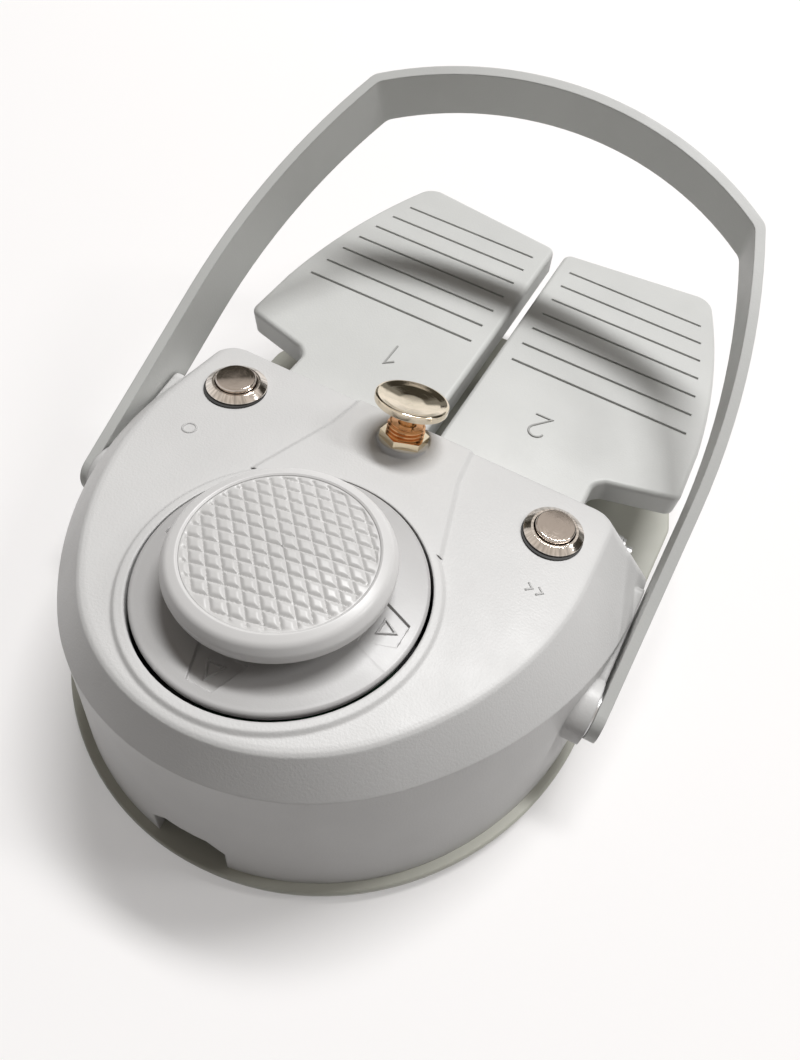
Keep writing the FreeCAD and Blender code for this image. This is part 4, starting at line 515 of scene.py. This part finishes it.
def disc():
    """Dished disc with a rolled edge, sampled finely enough for its windows."""
    turns = disc_turns()
    steps = len(turns)
    nearest, furthest = DISC_WINDOW_RINGS
    vertices = []
    for r, z in disc_profile():
        on_top = z > DISC_TOP_LEAST and nearest < r < furthest
        for turn in turns:
            angle = math.radians(turn)
            x, y = r * math.cos(angle), r * math.sin(angle)
            sunk = window_depth(x, y) if on_top else 0.0
            vertices.append((x * MM, y * MM, (z - sunk) * MM))
    rings = len(vertices) // steps
    faces = []
    for ring in range(rings):
        here = ring * steps
        following = (ring + 1) % rings * steps
        for step in range(steps):
            after = (step + 1) % steps
            faces.append((here + step, here + after, following + after, following + step))
    return make_object("direction_disc_dished", vertices, faces, RING_FRAME, "joystick", "cover_plastic",
                       40.0, DISC_PLASTIC)


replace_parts(disc(), "direction_disc")

# Plain raised marks on the pedals and beside the buttons; the pedal marks' darker plastic is painted shade,
# standing in for the shadow in engraved strokes

MARK_SINK = 0.15
MARK_FLAT = 0.3
MARK_SHOULDER = 0.4


def stroke(points, width, height, matrix, closed=False):
    """Vertices and faces of a raised line with sloped flanks along a polyline, in mm."""
    section = ((0.5, -MARK_SINK), (0.5, height * MARK_SHOULDER), (MARK_FLAT, height),
               (-MARK_FLAT, height), (-0.5, height * MARK_SHOULDER), (-0.5, -MARK_SINK))
    sides = len(section)
    path = [Vector(point) for point in points]
    count = len(path)
    vertices = []
    for index, here in enumerate(path):
        before = path[index - 1] if closed or index > 0 else here
        after = path[(index + 1) % count] if closed or index < count - 1 else here
        into = (here - before).normalized() if (here - before).length > 0.0 else (after - here).normalized()
        out = (after - here).normalized() if (after - here).length > 0.0 else into
        along = (into + out).normalized()
        side = Vector((-along.y, along.x)) / max(0.5, along.dot(into))
        for reach, z in section:
            point = here + side * (width * reach)
            vertices.append(matrix @ Vector((point.x * MM, point.y * MM, z * MM)))
    faces = []
    for index in range(count if closed else count - 1):
        low = index * sides
        high = (index + 1) % count * sides
        for place in range(sides):
            following = (place + 1) % sides
            faces.append((low + place, low + following, high + following, high + place))
    if not closed:
        faces.append(tuple(range(sides)))
        faces.append(tuple(reversed(range((count - 1) * sides, count * sides))))
    return vertices, faces


def mark(name, strokes, matrix, body, material, width=1.0, height=0.5):
    """One raised mark from strokes given as (points, closed)."""
    vertices = []
    faces = []
    for points, closed in strokes:
        new_vertices, new_faces = stroke(points, width, height, matrix, closed)
        faces.extend(tuple(index + len(vertices) for index in face) for face in new_faces)
        vertices.extend(new_vertices)
    return make_object(name, vertices, faces, Matrix.Identity(4), body, "cover_plastic", 20.0, material)


def arc(cx, cy, radius, start, stop, steps=14):
    """Points of an arc between two angles in degrees."""
    angles = [math.radians(start + (stop - start) * step / steps) for step in range(steps + 1)]
    return [(cx + radius * math.cos(angle), cy + radius * math.sin(angle)) for angle in angles]


def turned_frame(x, y, z):
    """A frame whose up runs towards the joystick, as someone treading the pedals reads it."""
    return axes_matrix(Vector((-1.0, 0.0, 0.0)), Vector((0.0, -1.0, 0.0)), Vector((0.0, 0.0, 1.0)),
                       Vector((x, y, z)))


PEDAL_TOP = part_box("pedal_left")[1].z
ONE = [([(-3.0, 3.2), (0.5, 6.2), (0.5, -6.2)], False)]
TWO = [(arc(0.0, 2.8, 3.4, 165.0, -35.0) + [(-3.7, -6.2), (3.9, -6.2)], False)]
PEDAL_MARKS = {"left": ((-36.7, 42.0), ONE), "right": ((37.6, 38.5), TWO)}
CIRCLE = [(arc(0.0, 0.0, 2.3, 0.0, 345.0, 23), True)]
CHEVRONS = [([(-3.2, 1.7), (-1.2, 0.0), (-3.2, -1.7)], False),
            ([(0.6, 1.7), (2.6, 0.0), (0.6, -1.7)], False)]
BUTTON_MARKS = {"left": ((-65.5, 37.5), CIRCLE), "right": ((69.0, 38.5), CHEVRONS)}

for side, ((x, y), strokes) in PEDAL_MARKS.items():
    mark("pedal_mark_" + side, strokes, turned_frame(x * MM, y * MM, PEDAL_TOP), "pedal_" + side,
         SHADED_MARK_PLASTIC)
for side, ((x, y), strokes) in BUTTON_MARKS.items():
    spot_frame = deck_matrix(RING + Vector((x * MM, 0.0, 0.0)) + DECK_Y * (y * MM))
    mark("button_mark_" + side, strokes, spot_frame, "chassis", MATERIALS["cover_plastic"],
         width=0.8, height=0.25)

# Push buttons with their bezels, and the centre press button on its threaded bushing

BEZEL = [
    (7.5, -20.0, 0.0), (9.5, -20.0, 0.0), (9.5, 0.6, 0.0), (11.0, 0.6, 0.12),
    (11.0, 1.3, 0.25), (8.6, 2.9, 0.25), (7.6, 2.9, 0.2), (7.5, 2.4, 0.0)]
BUTTON = [
    (0.0, 4.6, 0.0), (6.9, 4.55, 0.45), (7.25, 3.9, 0.3), (7.25, 0.2, 0.0),
    (4.0, 0.2, 0.0), (4.0, -17.0, 0.0), (0.0, -17.0, 0.0)]

for side in ("left", "right"):
    button_frame = deck_matrix(deck_point("push_button_" + side, 0.0))
    bezel = lathe("bezel_turned_" + side, BEZEL, button_frame, "chassis", "bright_metal", smooth=30.0)
    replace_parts(bezel, "bezel_" + side)
    cap = lathe("push_cap_turned_" + side, BUTTON, button_frame, "button_" + side, "satin_metal",
                smooth=30.0)
    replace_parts(cap, "push_button_" + side)

PRESS_NORMAL = -Vector(JOINTS["centre_press"]["axis"])
PRESS_SEAT = RING + DECK_Y * (74.3 * MM) + DECK_NORMAL * (1.2 * MM)
PRESS_FRAME = deck_matrix(PRESS_SEAT, PRESS_NORMAL)
CAP = [
    (0.0, 15.4, 0.0), (5.0, 15.6, 9.0), (10.2, 16.5, 5.0), (12.6, 17.2, 0.6),
    (13.5, 17.0, 0.5), (13.5, 14.5, 0.4), (12.7, 14.1, 0.3), (8.6, 12.9, 2.0),
    (4.6, 11.4, 1.0), (3.0, 10.6, 0.6), (3.0, -10.7, 0.0), (0.0, -10.7, 0.0)]
press_cap = lathe("press_cap_turned", CAP, PRESS_FRAME, "press_cap", "bright_metal", smooth=40.0,
                  material=WARM_CHROME)
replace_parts(press_cap, "press_cap")

THREAD_LOW, THREAD_TOP = -14.0, 7.0
THREAD_PITCH = 1.5
THREAD_STEPS = 64
THREAD_ROOT, THREAD_CREST = 6.2, 7.1
THREAD_PROFILE = (
    (0.0, THREAD_ROOT), (0.18, THREAD_ROOT), (0.5, THREAD_CREST), (0.68, THREAD_CREST), (1.0, THREAD_ROOT))
THREAD_RUN_OUT = 1.2


def bushing_thread():
    """Helical thread with a share of the pitch and a radius for each corner, run out at its top."""
    vertices = []
    rows = []
    for step in range(int((THREAD_TOP - THREAD_LOW) / THREAD_PITCH * THREAD_STEPS) + 1):
        angle = 2.0 * math.pi * step / THREAD_STEPS
        base = THREAD_LOW + THREAD_PITCH * step / THREAD_STEPS
        share = min(1.0, (THREAD_TOP - base) / THREAD_PITCH / THREAD_RUN_OUT)
        row = []
        for offset, corner in THREAD_PROFILE:
            z = min(THREAD_TOP, base + offset * THREAD_PITCH)
            radius = THREAD_ROOT + (corner - THREAD_ROOT) * share
            row.append(len(vertices))
            vertices.append((radius * MM * math.cos(angle), radius * MM * math.sin(angle), z * MM))
        rows.append(row)
    faces = []
    for row, following in zip(rows, rows[1:]):
        for place in range(len(THREAD_PROFILE) - 1):
            faces.append((row[place], following[place], following[place + 1], row[place + 1]))
    return make_object("bushing_thread", vertices, faces, PRESS_FRAME, "chassis", "brass_metal", 25.0, COPPER)


bushing_thread()
CORE = [
    (3.2, -14.0, 0.0), (6.3, -14.0, 0.0), (6.3, -11.0, 0.0), (7.7, -11.0, 0.0), (7.7, -8.05, 0.0),
    (6.25, -8.05, 0.0), (6.25, 6.3, 0.0), (6.0, 7.0, 0.3), (3.6, 7.0, 0.2), (3.2, 6.6, 0.0)]
core = lathe("bushing_core", CORE, PRESS_FRAME, "chassis", "brass_metal", smooth=30.0, material=COPPER)
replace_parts(core, "centre_bushing")

# Coil springs of round wire, with a closed turn at each end

WIRE_SIDES = 12
COIL_STEPS = 40
CLOSED_PITCH = 1.04


def coil_spring(name, node, radius, wire, length, matrix, turns):
    """Round wire wound about a frame's Z axis from its origin, and standing for a node."""
    closed = CLOSED_PITCH * wire
    open_pitch = (length - wire - 2.0 * closed) / (turns - 2.0)
    rows = []
    vertices = []
    for step in range(int(turns * COIL_STEPS) + 1):
        turn = step / COIL_STEPS
        angle = 2.0 * math.pi * turn
        middle = min(turns - 1.0, max(1.0, turn)) - 1.0
        height = wire / 2.0 + closed * (turn - middle) + open_pitch * middle
        row = []
        for side in range(WIRE_SIDES):
            around = 2.0 * math.pi * side / WIRE_SIDES
            reach = radius + wire / 2.0 * math.cos(around)
            row.append(len(vertices))
            vertices.append((reach * math.cos(angle), reach * math.sin(angle),
                             height + wire / 2.0 * math.sin(around)))
        rows.append(row)
    faces = []
    for row, following in zip(rows, rows[1:]):
        for side in range(WIRE_SIDES):
            after = (side + 1) % WIRE_SIDES
            faces.append((row[side], row[after], following[after], following[side]))
    faces.append(tuple(rows[0]))
    faces.append(tuple(reversed(rows[-1])))
    spring = make_object(name, vertices, faces, matrix, "chassis", "steel", 40.0)
    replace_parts(spring, node)
    return spring


PEDAL_WIRE = 1.6 * MM
PEDAL_TURNS = 6.0
STICK_WIRE = 0.8 * MM
STICK_TURNS = 4.0
STICK_SLACK = 0.9 * MM


def pedal_spring(side):
    """Spring under a pedal, with a mesh of its own."""
    low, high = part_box("pedal_spring_" + side)
    foot = Vector(((low.x + high.x) / 2.0, (low.y + high.y) / 2.0, low.z))
    length = high.z - low.z
    spring = coil_spring("pedal_spring_wound_" + side, "pedal_spring_" + side,
                         (high.x - low.x - PEDAL_WIRE) / 2.0, PEDAL_WIRE, length,
                         Matrix.Translation(foot), PEDAL_TURNS)
    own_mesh(spring)


def centring_spring():
    """Spring under the stick's contact plate, short enough for the plate to tilt above it."""
    low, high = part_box("centring_spring")
    width = high.x - low.x
    length = (high.z - low.z - width * abs(DECK_NORMAL.y)) / DECK_NORMAL.z
    rise = ((low + high) / 2.0 - RING).dot(DECK_NORMAL) - length / 2.0
    coil_spring("centring_spring_wound", "centring_spring", (width - STICK_WIRE) / 2.0, STICK_WIRE,
                length - STICK_SLACK, deck_matrix(RING + DECK_NORMAL * rise), STICK_TURNS)


for side in ("left", "right"):
    pedal_spring(side)
centring_spring()

# Camera, in the photograph's place

EYE = Vector((0.07736, -0.16100, 0.27199))
RIGHT = Vector((0.89687, 0.42499, 0.12248))
UP = Vector((-0.42477, 0.75052, 0.50624))
IMAGE_HEIGHT = 1060.0
FOCAL_PIXELS = 678.48
SHIFT_PIXELS = (-87.6, 24.3)
SENSOR_HEIGHT = 36.0
CLIP_START = 0.01


def camera():
    """Camera whose shift is the place of the view's axis in the photograph."""
    data = bpy.data.cameras.new("camera")
    obj = bpy.data.objects.new("camera", data)
    bpy.context.scene.collection.objects.link(obj)
    right = RIGHT.normalized()
    up = (UP - right * UP.dot(right)).normalized()
    obj.matrix_world = axes_matrix(right, up, right.cross(up), EYE)
    data.sensor_fit = "VERTICAL"
    data.sensor_height = SENSOR_HEIGHT
    data.lens = FOCAL_PIXELS / IMAGE_HEIGHT * SENSOR_HEIGHT
    data.shift_x = SHIFT_PIXELS[0] / IMAGE_HEIGHT
    data.shift_y = SHIFT_PIXELS[1] / IMAGE_HEIGHT
    data.clip_start = CLIP_START
    bpy.context.scene.camera = obj


camera()

# Floor, world and lamps

FLOOR_REACH = 3.0
FLOOR_COLOR = (0.66, 0.66, 0.66)
FLOOR_DARKER, FLOOR_PALER = (0.662, 0.652, 0.65), (0.675, 0.665, 0.662)
FLOOR_GLOW = (0.305, 0.30, 0.298)
FLAG_REACH = 2.2
FLAG_SWEEP = 72
FLAG_STEP = 4
FLAG_TOP, FLAG_ARCH, FLAG_ARCH_DROP = 37.0, 13.0, 11.5
FLAG_ARCH_HALF, FLAG_ARCH_CURVE = 24.0, 8.0
FLAG_COLOR = (0.06, 0.055, 0.04)
FLAG_DARKER, FLAG_PALER = (0.05, 0.045, 0.033), (0.08, 0.072, 0.055)
ROOM_WARMTH = (1.08, 1.0, 0.92)
ROOM_LEVELS = ((0.0, 0.06), (0.22, 0.09), (0.34, 0.18), (0.5, 0.14), (1.0, 0.16))
ROOM_DEPTH = 0.8
ROOM_NEAR, ROOM_FAR = 0.25, 1.40
BACKGROUND = [
    (0.0, (1.0, 1.0, 1.0)), (0.3, (0.97, 0.96, 0.95)), (0.6, (0.80, 0.76, 0.72)), (1.0, (0.62, 0.57, 0.52))]


def seen_directly(tree):
    """A factor of 1 for camera, glossy and transmission rays."""
    path = tree.nodes.new("ShaderNodeLightPath")
    seen = path.outputs["Is Camera Ray"]
    for other in ("Is Glossy Ray", "Is Transmission Ray"):
        either = tree.nodes.new("ShaderNodeMath")
        either.operation = "MAXIMUM"
        tree.links.new(seen, either.inputs[0])
        tree.links.new(path.outputs[other], either.inputs[1])
        seen = either.outputs["Value"]
    return seen


def stage_piece(name, vertices, faces, material):
    """A piece of the stage, which isn't part of the object."""
    mesh = bpy.data.meshes.new(name)
    mesh.from_pydata(vertices, [], faces)
    obj = bpy.data.objects.new(name, mesh)
    bpy.context.scene.collection.objects.link(obj)
    mesh.materials.append(material)
    return obj


def floor():
    """Pale paper whose shadows are lifted where it is seen, as in a cut-out product picture."""
    shade = Shade("floor_paper", FLOOR_COLOR, 0.95)
    shade.tint(shade.noise(5.0), FLOOR_DARKER, FLOOR_PALER)
    shade.set("Specular IOR Level", 0.2)
    glow = shade.node("ShaderNodeEmission")
    glow.inputs["Color"].default_value = (*FLOOR_GLOW, 1.0)
    shade.link(seen_directly(shade.tree), glow.inputs["Strength"])
    both = shade.node("ShaderNodeAddShader")
    shade.link(shade.shader.outputs["BSDF"], both.inputs[0])
    shade.link(glow.outputs["Emission"], both.inputs[1])
    shade.link(both.outputs["Shader"], shade.tree.nodes["Material Output"].inputs["Surface"])
    corners = [(-FLOOR_REACH, -FLOOR_REACH, 0.0), (FLOOR_REACH, -FLOOR_REACH, 0.0),
               (FLOOR_REACH, FLOOR_REACH, 0.0), (-FLOOR_REACH, FLOOR_REACH, 0.0)]
    stage_piece("floor", corners, [(0, 1, 2, 3)], shade.material)


def flag():
    """A dark arch-shaped card behind the pedals, seen only in reflections; its lifts are in degrees."""
    shade = Shade("flag_card", FLAG_COLOR, 0.9)
    shade.tint(shade.noise(3.0), FLAG_DARKER, FLAG_PALER)
    vertices = []
    for turn in range(-FLAG_SWEEP, FLAG_SWEEP + 1, FLAG_STEP):
        side = clamp((abs(turn) - FLAG_ARCH_HALF) / FLAG_ARCH_CURVE)
        x = FLAG_REACH * math.sin(math.radians(turn))
        y = FLAG_REACH * math.cos(math.radians(turn))
        for lift in (FLAG_ARCH - FLAG_ARCH_DROP * side, FLAG_TOP):
            vertices.append((x, y, FLAG_REACH * math.tan(math.radians(lift))))
    faces = [(low, low + 2, low + 3, low + 1) for low in range(0, len(vertices) - 2, 2)]
    card = stage_piece("flag", vertices, faces, shade.material)
    card.visible_camera = False
    card.visible_diffuse = False
    card.visible_shadow = False


def color_ramp(tree, factor, stops):
    """A colour ramp from (position, colour) stops."""
    ramp = tree.nodes.new("ShaderNodeValToRGB")
    elements = ramp.color_ramp.elements
    for element, (position, color) in zip(elements, (stops[0], stops[-1])):
        element.position = position
        element.color = (*color, 1.0)
    for position, color in stops[1:-1]:
        elements.new(position).color = (*color, 1.0)
    tree.links.new(factor, ramp.inputs["Fac"])
    return ramp.outputs["Color"]


def world():
    """A dim warm room that lights the object, seen as a pale background by the camera and by gloss."""
    made = bpy.data.worlds.new("studio")
    bpy.context.scene.world = made
    made.use_nodes = True
    tree = made.node_tree
    coords = tree.nodes.new("ShaderNodeTexCoord")
    axes = tree.nodes.new("ShaderNodeSeparateXYZ")
    tree.links.new(coords.outputs["Generated"], axes.inputs["Vector"])
    room_stops = [(position, scaled(ROOM_WARMTH, level)) for position, level in ROOM_LEVELS]
    depth = tree.nodes.new("ShaderNodeMapRange")
    depth.inputs["From Min"].default_value = -ROOM_DEPTH
    depth.inputs["From Max"].default_value = ROOM_DEPTH
    depth.inputs["To Min"].default_value = ROOM_NEAR
    depth.inputs["To Max"].default_value = ROOM_FAR
    tree.links.new(axes.outputs["Y"], depth.inputs["Value"])
    room = tree.nodes["Background"]
    tree.links.new(color_ramp(tree, axes.outputs["Z"], room_stops), room.inputs["Color"])
    tree.links.new(depth.outputs["Result"], room.inputs["Strength"])
    pale = tree.nodes.new("ShaderNodeBackground")
    pale.inputs["Strength"].default_value = 1.0
    tree.links.new(color_ramp(tree, axes.outputs["Z"], BACKGROUND), pale.inputs["Color"])
    mix = tree.nodes.new("ShaderNodeMixShader")
    tree.links.new(seen_directly(tree), mix.inputs["Fac"])
    tree.links.new(room.outputs["Background"], mix.inputs[1])
    tree.links.new(pale.outputs["Background"], mix.inputs[2])
    tree.links.new(mix.outputs["Shader"], tree.nodes["World Output"].inputs["Surface"])


def lamp(name, place, target, width, height, power):
    """A rectangular softbox whose width lies across the object."""
    data = bpy.data.lights.new(name, "AREA")
    data.shape = "RECTANGLE"
    data.size = width
    data.size_y = height
    data.energy = power
    obj = bpy.data.objects.new(name, data)
    bpy.context.scene.collection.objects.link(obj)
    place = Vector(place)
    back = (place - Vector(target)).normalized()
    across = (X_AXIS - back * X_AXIS.dot(back)).normalized()
    obj.matrix_world = axes_matrix(across, back.cross(across), back, place)


floor()
flag()
world()
lamp("key", place=(0.24, 2.04, 3.75), target=(0.0, 0.0, 0.05), width=2.2, height=0.50, power=162.0)
lamp("window", place=(2.60, 1.45, 2.70), target=(0.0, 0.0, 0.05), width=1.2, height=0.40, power=30.0)

bpy.context.scene.view_settings.view_transform = "Standard"
